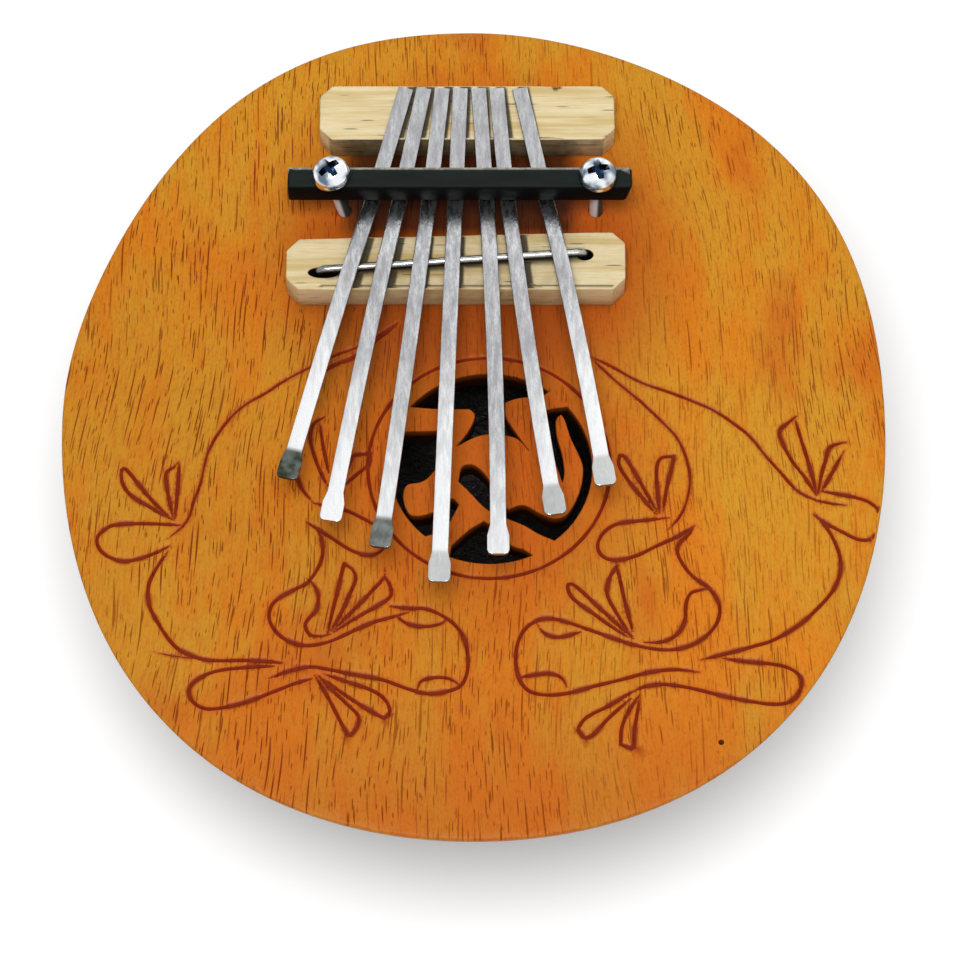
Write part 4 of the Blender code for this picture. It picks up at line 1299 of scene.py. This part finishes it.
def make_bridges(settings):
    finish = pale_wood(settings)
    # The rear bridge's front face under the bar is darkened as painted shade.
    bridge_block("rear_bridge_block", "rear_bridge", settings, finish, darkened=0.65, nick=NICK)
    holes = [leg[:2] + (shift, 0) + circle((0, 0), 1.0, SLOT_POINTS) * reach
             for leg, (shift, *reach) in zip(wire_course(), (LEFT_SLOT, RIGHT_SLOT))]
    bridge_block("front_bridge_block", "front_bridge", settings, finish, darkened=0.15, holes=holes, score=SCORE)


def bright_wire(settings):
    finish = Finish("bright wire", settings.wire)
    drawn = finish.noise((0.6, 8.0, 8.0))
    finish.lay(settings.haze, finish.span(drawn, 0.3, 0.7, 0.0, 0.6))
    # The black paint tone stands in for shade on the wire's underside and on its left end in the slot.
    finish.lay(settings.paint, finish.attribute("under"))
    return finish.close(finish.span(drawn, 0.3, 0.7, 0.16, 0.34), drawn, 0.00003, metallic=1.0)


def tube_maker():
    """Round tube along a line of edges."""
    make = Maker("bent wire", Radius="Float", Sides="Int")
    course = make.add("GeometryNodeMeshToCurve", {"Mesh": make.given["Geometry"]}).outputs[0]
    return make.close(make.tube(course, make.given["Sides"], make.given["Radius"]))


def make_saddle_wire(metal):
    left, right, crown, radius = wire_course()
    along = (right - left) / np.linalg.norm(right - left)
    bend = BEND_RADII * radius

    def corner(leg, inwards):
        """Quarter bend from a leg to the crown."""
        top = np.array((*leg[:2], crown))
        return [top + inwards * bend * (1 - math.cos(a)) - (0, 0, bend * (1 - math.sin(a)))
                for a in np.radians(BEND_ARC)]

    course = [left, *corner(left, along), *corner(right, -along)[::-1], right]
    piece = tube_maker().run("bent_saddle_wire", line_mesh("saddle wire course", course), Radius=radius * MM,
                             Sides=18, Material=None)
    tidy_mesh(piece.data, sharp=50)
    # Painted shade on the underside and on the left end in the slot.
    low_side = rise(np.array([v.normal.z for v in piece.data.vertices]), *WIRE_UNDERSIDE)
    dull, reach, fade = WIRE_END
    left_end = dull * rise(mesh_spots(piece.data)[:, 0], left[0] + reach, fade)
    mark(piece.data, under=np.maximum(low_side, left_end))
    settle(piece, bright_wire(metal), "bright_wire", RESONATOR, "saddle_wire")


# ---------------------------------------------------------------- tines


# Dark tips, painted as dark reflections: their reach, their soft edge and how dark each is; then how much each tine
# is rubbed and brightened by painted reflection.
TIP_REACH = 5.4
TIP_EDGE = 0.7
TIP_REFLECTIONS = (1.0, 0.0, 0.88, 0.41, 0.03, 0.48, 0.36)
TINE_WEAR_AND_SHEEN = (0.04, -0.06, -0.14, 0.0, -0.2, -0.1, 0.01)
TINE_SQUARENESS = 0.3
STATION_CROWDING = 1.7
SEAM_MERGE = 8e-6
BENDING_SHARE = 0.6

# Painted shade on the sides of a strip: the tone where it stands upright, and how much paler it gets as it lies flat.
SIDE_TONES = (1.7, 2.6)


def spring_steel(settings):
    finish = Finish("spring steel", settings.bright)
    patches = finish.noise((1.3, 0.22, 1.5), 4.0, 0.6)
    specks = finish.noise((5.0, 1.3, 4.0), 3.0, 0.6)
    # Brighter towards the tip: rubbed steel, and painted reflection.
    worn = finish.span(finish.attribute("along"), 0.46, 0.95, 0.0, 0.68)
    for dull in (finish.span(patches, 0.3, 0.68, 0.38, 0.8), finish.span(specks, 0.42, 0.72, 0.0, 0.4)):
        finish.lay(settings.dull, finish.math("SUBTRACT", dull, worn, clamp=True))
    # Painted shade on the strip's sides.
    finish.lay(settings.dark_reflection_and_shade, finish.math("MULTIPLY", finish.attribute("edge"), 0.5))
    uneven = finish.span(finish.noise(0.6), 0.35, 0.65, 1.0, 0.88)
    # Painted dark reflection on some tips.
    finish.lay(settings.dark_reflection_and_shade, finish.math("MULTIPLY", finish.attribute("tip_tone"), uneven))
    return finish.close(finish.span(patches, 0.3, 0.7, 0.18, 0.34), specks, 0.00005, metallic=1.0)


def strip_maker():
    """Flat strip with rounded edges along a line of edges that carries its half width and half thickness."""
    make = Maker("flattened strip", Stations="Int", Sides="Int", Squareness="Float")
    given = make.given
    course = make.add("GeometryNodeMeshToCurve", {"Mesh": given["Geometry"]}).outputs[0]
    course = make.add("GeometryNodeSetCurveNormal", {"Curve": course}, mode="Z_UP").outputs[0]
    grid = make.add("GeometryNodeMeshGrid", {"Size X": 1.0, "Size Y": 1.0, "Vertices X": given["Stations"],
                                             "Vertices Y": given["Sides"]}).outputs["Mesh"]
    spot = make.add("ShaderNodeSeparateXYZ", {0: make.add("GeometryNodeInputPosition").outputs[0]}).outputs
    share = make.math("ADD", spot["X"], 0.5)
    row = make.math("DIVIDE", 1.0, make.math("SUBTRACT", given["Stations"], 1.0))
    inner = make.math("DIVIDE", make.math("SUBTRACT", share, row),
                      make.math("SUBTRACT", 1.0, make.math("MULTIPLY", row, 2.0)), clamp=True)
    left_over = make.math("POWER", make.math("SUBTRACT", 1.0, inner), STATION_CROWDING)
    ahead = make.math("SUBTRACT", 1.0, left_over)
    wide, thick = (make.add("GeometryNodeSampleCurve", {"Curves": course, "Value": make.named(name), "Factor": ahead},
                            mode="FACTOR", data_type="FLOAT").outputs for name in ("half_width", "half_thickness"))
    side = wide["Normal"]
    up = make.vector("CROSS_PRODUCT", side, wide["Tangent"])
    turn = make.math("MULTIPLY", make.math("ADD", spot["Y"], 0.5), math.tau)
    ends = make.math("MULTIPLY", make.math("GREATER_THAN", share, 1e-4), make.math("LESS_THAN", share, 1 - 1e-4))
    arms = []
    for wave, sample, axis in (("COSINE", wide, side), ("SINE", thick, up)):
        value = make.math(wave, turn)
        power = make.math("POWER", make.math("ABSOLUTE", value), given["Squareness"])
        reach = make.math("MULTIPLY", make.math("MULTIPLY", make.math("SIGN", value), power), ends)
        arms.append(make.scaled(axis, make.math("MULTIPLY", reach, sample["Value"])))
    position = make.vector("ADD", wide["Position"], make.vector("ADD", *arms))
    moved = make.add("GeometryNodeSetPosition", {"Geometry": grid, "Position": position}).outputs[0]
    joined = make.add("GeometryNodeMergeByDistance", {"Geometry": moved, "Distance": SEAM_MERGE})
    return make.close(joined.outputs[0])


def make_tines(settings):
    finish = spring_steel(settings)
    maker = strip_maker()
    steep, paler = SIDE_TONES
    for number, tone, wear_and_sheen in zip(TINES, TIP_REFLECTIONS, TINE_WEAR_AND_SHEEN):
        forward, sections = tine_course(number)
        tail, tongue = f"tine_{number}_tail", f"tine_{number}_tongue"
        runs, middles, halves, thicknesses = zip(*sections)
        start, reach = runs[0], runs[-1] - runs[0]
        line = line_mesh("tine course", middles)
        mark(line, half_width=np.array(halves) * MM, half_thickness=np.array(thicknesses) * MM)
        piece = maker.run(f"steel_tine_{number}", line, Stations=settings.stations, Sides=settings.sides + 1,
                          Squareness=TINE_SQUARENESS, Material=finish)
        mesh = piece.data
        tidy_mesh(mesh, sharp=50)
        ahead = mesh_spots(mesh) @ forward - start
        flatness = np.array([abs(v.normal.z) for v in mesh.vertices])
        # Brighter towards the tip, painted dark reflections on the tips and painted shade on the sides.
        mark(mesh, along=ahead / reach + wear_and_sheen, tip_tone=rise(ahead, reach - TIP_REACH, TIP_EDGE) * tone,
             edge=np.clip(steep - paler * flatness, 0, 1))
        settle(piece, finish, "spring_steel", None, tail, tongue)
        hinge = Vector(JOINTS[f"tine_{number}_pluck"]["pos_m"])
        free = (reach + start) * MM - hinge.dot(Vector(forward))
        hinge + Vector(forward) * free * BENDING_SHARE
        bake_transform(piece)


# ---------------------------------------------------------------- pressure bar and screws


# The bar: slant of its right end and how far that reaches, chamfer, radius of its holes, and its rows of top points.
BAR_SLANT = 0.8
SLANT_REACH = 1.5
BAR_CHAMFER = 0.4
BAR_HOLE = 1.4
BAR_HOLE_POINTS = 28
BAR_HOLE_CLEARANCE = 0.1
BAR_STEP = 1.0
BAR_ROW_INSET = 0.3

# Its eased edges as insets and drops in shares of their width; how far down them the painted highlight of the rear
# edge reaches, and how far down the dust and painted top light lie.
BAR_EDGE = ((1, 0), (0.3, 0.3), (0, 1))
HIGHLIGHT_DOWN = 0.9
HIGHLIGHT_STRIP = 0.05
DUST_AND_LIGHT_DOWN = 0.1

# The screws: radius and height of each turn of the profile, from the tip and from the seat, then recess and thread.
SHANK_RADIUS = 1.1
SCREW_POINT = ((0.0, 0.0), (0.35, 0.9), (SHANK_RADIUS, 3.0))
HEAD_PROFILE = ((SHANK_RADIUS, 0.0), (2.9, 0.0), (3.07, 0.1), (3.1, 0.3), (3.04, 0.65), (2.9, 1.05), (2.66, 1.47),
                (2.32, 1.87), (1.87, 2.22), (1.3, 2.5), (0.66, 2.67), (0.0, 2.72))
DOME = HEAD_PROFILE[:3:-1]
RECESS_TOP = (2.55, 0.58)
RECESS_FLOOR = (1.0, 0.36)
RECESS_DEPTH = 1.6
CUTTER_TOP = 3.4
QUARTER_TURNS = ((1, 0), (0, 1), (-1, 0), (0, -1))
THREAD_RADIUS = 1.08
THREAD_RIDGE = 0.24
THREAD_START = 1.8
THREAD_SHORTER = 2.4
SCREW_POINTS = 48
TIP_CLEARANCE = 0.1
NECK = 0.1

# Painted shade on a screw, by height: below the head, the head's rim and its tone, and the recess; then how the
# painted shade spreads round the shank: its steepness, its start and its tone.
HEAD_FOOT = -0.05
RIM_TOP = 0.2
RIM_TONE = 0.55
RECESS_LOWEST = 0.9
RECESS_SHADE = (0.05, 0.5)
SHANK_SHADE = (3, 0.1, 0.95)


def screw_frame(side):
    """Seat of a screw's head and its upward axis."""
    joint = JOINTS[f"screw_{side}_turn"]
    return Vector(joint["pos_m"]) / MM, Vector(joint["axis"]).normalized()


def black_metal(settings):
    finish = Finish("black painted steel", settings.paint)
    dust_and_top_light = finish.noise((0.12, 0.6, 0.6), 4.0)
    highlight_noise = finish.span(finish.noise(0.9, 4.0, 0.7), 0.42, 0.62)
    dusty_and_lit = finish.span(dust_and_top_light, 0.3, 0.7, 0.75, 1.0)
    # Dust and painted light on the top face.
    finish.lay(settings.dust_and_top_light, finish.math("MULTIPLY", finish.attribute("upper"), dusty_and_lit))
    patchy_highlight = finish.span(highlight_noise, 0.0, 1.0, 0.6, 1.0)
    # Painted highlight along the rear top edge.
    finish.lay(settings.bare, finish.math("MULTIPLY", finish.attribute("edge"), patchy_highlight))
    return finish.close(finish.span(dust_and_top_light, 0.3, 0.7, 0.45, 0.6), finish.noise(3.0), 0.00003, specular=0.04)


def make_bar(settings):
    low, high = box("pressure_bar")
    edge = settings.bar_edge / MM
    right, front, back = high.x - BAR_CHAMFER, low.y + BAR_CHAMFER, high.y - BAR_CHAMFER
    outline = np.array([(low.x, low.y), (right, low.y), (high.x, front), (high.x, back), (right, high.y),
                        (low.x, high.y)])
    outline = straight_course(rounded_corners(outline, CORNER_ROUND, 2), BAR_STEP)
    eased = [(edge * inset, edge * drop) for inset, drop in BAR_EDGE]
    levels = [(inset, high.z - drop) for inset, drop in eased] + [(0, (low.z + high.z) / 2)]
    levels += [(inset, low.z + lift) for inset, lift in reversed(eased)]
    rim = [(offset_loop(outline, -inset), z) for inset, z in levels]
    holes = []
    for side in ("left", "right"):
        seat, up = screw_frame(side)
        holes.append([(circle((seat + up * ((z - seat.z) / up.z)).xy, BAR_HOLE, BAR_HOLE_POINTS), z)
                      for z in (high.z, low.z)])
    extra = np.array([(x, y) for y in (low.y + edge + BAR_ROW_INSET, high.y - edge - BAR_ROW_INSET)
                      for x in np.arange(low.x + BAR_STEP, high.x - BAR_STEP, BAR_STEP)])
    extra = extra[inside_less(extra, outline, [offset_loop(hole[0][0], BAR_HOLE_CLEARANCE) for hole in holes])]
    points, faces, _ = plate(rim, holes, extra)
    x, y, z = points.T
    points[:, 0] -= BAR_SLANT * (x > high.x - SLANT_REACH) * (high.z - z) / (high.z - low.z)
    sunk = np.minimum(np.abs(z - high.z), np.abs(z - low.z)) / edge
    upper = z > (low.z + high.z) / 2
    # Painted highlight along the rear top edge, and dust with painted light on the top face.
    rear_edge = upper & (sunk < HIGHLIGHT_DOWN) & (y > high.y - edge - HIGHLIGHT_STRIP)
    piece = mesh_piece("black_bar", points, faces, sharp=35, edge=rear_edge, upper=upper & (sunk < DUST_AND_LIGHT_DOWN))
    settle(piece, black_metal(settings), "black_metal", "clamp_bar", "pressure_bar")


def bright_zinc(settings):
    finish = Finish("bright zinc", settings.zinc)
    haze = finish.noise(0.5, 1.0)
    shank = finish.attribute("shank")
    patches = finish.span(haze, 0.4, 0.66, 0.0, 0.9)
    # Bluish patches of the plating, which on the heads also stand in for dark reflections.
    finish.lay(settings.haze, finish.math("SUBTRACT", patches, shank, clamp=True))
    finish.lay(settings.recess, finish.attribute("recess"))
    # Painted shade on one side of the shank and round the head's rim.
    finish.lay(settings.tarnish, finish.attribute("tarnish"))
    return finish.close(finish.span(haze, 0.3, 0.7, 0.08, 0.2), haze, 0.00002,
                        metallic=finish.span(shank, 0.0, 1.0, 1.0, 0.0),
                        specular=finish.span(shank, 0.0, 1.0, 0.5, 0.05))


def thread_maker():
    """Ridge that winds round a shank."""
    make = Maker("screw thread", Turns="Float", Radius="Float", Height="Float", Ridge="Float")
    given = make.given
    helix = make.add("GeometryNodeCurveSpiral",
                     {"Resolution": 24, "Rotations": given["Turns"], "Start Radius": given["Radius"],
                      "End Radius": given["Radius"], "Height": given["Height"]}).outputs[0]
    return make.close(make.tube(helix, 4, given["Ridge"]))


def lathe(profile, count):
    """Points and faces of a turned body; the profile runs from its lower end to its upper end on the axis."""
    points, rings = [], []
    for radius, z in profile:
        ring = circle((0, 0), radius, count) if radius else [(0, 0)]
        rings.append([len(points) + i % len(ring) for i in range(count)])
        points += [(x, y, z) for x, y in ring]
    return points, [list(dict.fromkeys(face)) for face in bands(rings)]


def cross_cutter(name):
    """Tapered cross that cuts the recess."""
    points = []
    for (reach, half), z in ((RECESS_FLOOR, HEAD_PROFILE[-1][1] - RECESS_DEPTH), (RECESS_TOP, CUTTER_TOP)):
        arm = ((reach, -half), (reach, half), (half * 1.25, half * 1.25))
        points += [(x * c - y * s, x * s + y * c, z) for c, s in QUARTER_TURNS for x, y in arm]
    count = len(points) // 2
    ends = [range(count), range(count, 2 * count)]
    return mesh_piece(name, points, ends + bands(ends))


def make_screw(side, spin, settings, finish):
    seat, up = screw_frame(side)
    node = f"screw_{side}"
    below = (seat.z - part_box(node)[0].z / MM) / up.z - TIP_CLEARANCE
    profile = [(radius, z - below) for radius, z in SCREW_POINT]
    profile += [(SHANK_RADIUS, -below / 2), (SHANK_RADIUS, -NECK), *HEAD_PROFILE]
    blank = mesh_piece("screw blank", *lathe(profile, SCREW_POINTS))
    cutter = cross_cutter("recess cutter")
    cut = blank.modifiers.new("recess", "BOOLEAN")
    cut.operation, cut.solver, cut.object = "DIFFERENCE", "EXACT", cutter
    mesh = evaluated_mesh(blank)
    threaded = below - (seat.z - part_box("soundboard")[1].z / MM) / up.z - THREAD_SHORTER
    ridge = thread_maker().run("thread", bpy.data.meshes.new("thread seed"),
                               Turns=threaded / (settings.thread_pitch / MM), Radius=THREAD_RADIUS * MM,
                               Height=threaded * MM, Ridge=THREAD_RIDGE * MM, Material=finish)
    ridge.data.transform(Matrix.Translation((0, 0, (THREAD_START - below) * MM)))
    shape = bmesh.new()
    shape.from_mesh(mesh)
    shape.from_mesh(ridge.data)
    shape.to_mesh(mesh)
    shape.free()
    for spare in (blank, cutter, ridge):
        bpy.data.objects.remove(spare)
    x, y, z = mesh_spots(mesh).T
    radii, heights = zip(*DOME)
    sunk = np.interp(np.hypot(x, y), radii, heights) - z
    shank = z < HEAD_FOOT
    side_on = (math.cos(spin) * x - math.sin(spin) * y) / SHANK_RADIUS
    # Painted shade round the head's rim and on one side of the shank.
    rim = RIM_TONE * (z > HEAD_FOOT) * (z < RIM_TOP)
    steepness, start, tone = SHANK_SHADE
    mark(mesh, recess=rise(sunk, *RECESS_SHADE) * (z > RECESS_LOWEST), shank=shank,
         tarnish=np.maximum(rim, shank * np.clip(side_on * steepness + start, 0, 1) * tone))
    tidy_mesh(mesh, sharp=38)
    lean = UP.rotation_difference(up).to_matrix().to_4x4()
    mesh.transform(Matrix.Translation(seat * MM) @ lean @ Matrix.Rotation(spin, 4, "Z"))
    settle(link(f"clamp_screw_{side}", mesh), finish, "bright_zinc", node, node)


def make_screws(settings):
    finish = bright_zinc(settings)
    make_screw("left", settings.spin_left, settings, finish)
    make_screw("right", settings.spin_right, settings, finish)


# ---------------------------------------------------------------- stage


AIM = Vector((-0.00018, -0.00373, 0.0448))
FLOOR_CORNERS = ((-3.0, -3.0, 0), (3.0, -3.0, 0), (3.0, 3.0, 0), (-3.0, 3.0, 0))
KEY_LIGHT = (0.34, (-0.03, -0.20, 0.78))
FILL_LIGHT = (0.9, (0.25, 0.75, 0.55))
WHITE = (1, 1, 1, 1)
SENSOR_WIDTH = 36.0


def seen_directly(graph):
    """1 for rays that come from the camera, a mirror or glass."""
    path = graph.add("ShaderNodeLightPath").outputs
    seen = graph.math("MAXIMUM", path["Is Camera Ray"], path["Is Glossy Ray"])
    return graph.math("MAXIMUM", seen, path["Is Transmission Ray"])


def pale_floor(settings):
    finish = Finish("pale floor", settings.floor)
    cloud = finish.noise(0.004)
    finish.lay(settings.cloud, finish.span(cloud, 0.3, 0.7, 0.0, 0.15))
    away = finish.add("ShaderNodeVectorMath", {0: finish.place}, operation="LENGTH").outputs["Value"]
    lift = finish.math("MULTIPLY", seen_directly(finish), finish.span(away, 150.0, 900.0, 0.26, 1.0))
    finish.wire(finish.surface, {"Emission Color": WHITE, "Emission Strength": lift})
    return finish.close(finish.span(cloud, 0.3, 0.7, 0.85, 0.95), specular=0.0)


def face(thing, direction):
    """Turns a light or a camera to look in a direction."""
    thing.rotation_euler = direction.to_track_quat("-Z", "Y").to_euler()


def area_light(name, power, size, place):
    lamp = bpy.data.lights.new(name, "AREA")
    lamp.energy, lamp.shape, lamp.size = power, "DISK", size
    light = link(name, lamp)
    light.location = place
    face(light, AIM - Vector(place))


def make_stage(settings):
    scene = bpy.context.scene
    mesh = bpy.data.meshes.new("floor")
    mesh.from_pydata(FLOOR_CORNERS, [], [range(len(FLOOR_CORNERS))])
    mesh.materials.append(pale_floor(settings))
    link("floor", mesh)
    world = bpy.data.worlds.new("even light")
    world.use_nodes = True
    scene.world = world
    graph = Graph(world.node_tree)
    even = graph.math("MULTIPLY", seen_directly(graph), 1 - settings.sky)
    graph.wire(world.node_tree.nodes["Background"],
               {"Color": WHITE, "Strength": graph.math("ADD", even, settings.sky)})
    area_light("key light", settings.key, *KEY_LIGHT)
    area_light("fill light", settings.fill, *FILL_LIGHT)
    lens = bpy.data.cameras.new("camera")
    lens.lens, lens.sensor_width = settings.lens, SENSOR_WIDTH
    lens.shift_x, lens.shift_y = settings.shift_x, settings.shift_y
    lens.dof.use_dof = False
    camera = link("camera", lens)
    back = Vector((0, -math.cos(settings.elevation), math.sin(settings.elevation)))
    camera.location = AIM + back * settings.distance
    face(camera, -back)
    scene.camera = camera
    scene.view_settings.view_transform = "Standard"


# ---------------------------------------------------------------- operators


class Build:
    """Shared run of the operators; each has the function that builds and the name of the settings that it takes."""

    def execute(self, context):
        self.make(getattr(context.scene.kalimba, self.group))
        return {"FINISHED"}


class KALIMBA_OT_soundboard(Build, bpy.types.Operator):
    """Build the carved soundboard"""

    bl_idname, bl_label = "kalimba.soundboard", "Soundboard"
    make, group = staticmethod(make_soundboard), "board"


class KALIMBA_OT_shell(Build, bpy.types.Operator):
    """Build the half coconut shell and its fibres"""

    bl_idname, bl_label = "kalimba.shell", "Coconut shell"
    make, group = staticmethod(make_shell), "shell"


class KALIMBA_OT_bridges(Build, bpy.types.Operator):
    """Build the two pale bridges"""

    bl_idname, bl_label = "kalimba.bridges", "Bridges"
    make, group = staticmethod(make_bridges), "bridges"


class KALIMBA_OT_saddle_wire(Build, bpy.types.Operator):
    """Build the bent wire that the tines bear on"""

    bl_idname, bl_label = "kalimba.saddle_wire", "Saddle wire"
    make, group = staticmethod(make_saddle_wire), "metal"


class KALIMBA_OT_tines(Build, bpy.types.Operator):
    """Build the steel tines"""

    bl_idname, bl_label = "kalimba.tines", "Tines"
    make, group = staticmethod(make_tines), "tines"


class KALIMBA_OT_bar(Build, bpy.types.Operator):
    """Build the black pressure bar"""

    bl_idname, bl_label = "kalimba.bar", "Pressure bar"
    make, group = staticmethod(make_bar), "metal"


class KALIMBA_OT_screws(Build, bpy.types.Operator):
    """Build the two clamp screws"""

    bl_idname, bl_label = "kalimba.screws", "Clamp screws"
    make, group = staticmethod(make_screws), "metal"


class KALIMBA_OT_stage(Build, bpy.types.Operator):
    """Set up the floor, the light and the camera"""

    bl_idname, bl_label = "kalimba.stage", "Stage"
    make, group = staticmethod(make_stage), "stage"


OPERATORS = (KALIMBA_OT_soundboard, KALIMBA_OT_shell, KALIMBA_OT_bridges, KALIMBA_OT_saddle_wire,
             KALIMBA_OT_tines, KALIMBA_OT_bar, KALIMBA_OT_screws, KALIMBA_OT_stage)


class KALIMBA_PT_pieces(bpy.types.Panel):
    """Lists the pieces that can be built"""

    bl_label = "Kalimba"
    bl_idname = "KALIMBA_PT_pieces"
    bl_space_type = "VIEW_3D"
    bl_region_type = "UI"
    bl_category = "Kalimba"

    def draw(self, context):
        for operator in OPERATORS:
            self.layout.operator(operator.bl_idname)


CLASSES = (BoardSettings, ShellSettings, BridgeSettings, TineSettings, MetalSettings, StageSettings,
           KalimbaSettings, *OPERATORS, KALIMBA_PT_pieces)


def register():
    for cls in CLASSES:
        bpy.utils.register_class(cls)
    bpy.types.Scene.kalimba = PointerProperty(type=KalimbaSettings)


def unregister():
    del bpy.types.Scene.kalimba
    for cls in reversed(CLASSES):
        bpy.utils.unregister_class(cls)


def main():
    """Builds every piece in order."""
    register()
    bpy.ops.kalimba.stage()
    bpy.ops.kalimba.soundboard()
    bpy.ops.kalimba.shell()
    bpy.ops.kalimba.bridges()
    bpy.ops.kalimba.saddle_wire()
    bpy.ops.kalimba.tines()
    bpy.ops.kalimba.bar()
    bpy.ops.kalimba.screws()


if __name__ == "__main__":
    main()
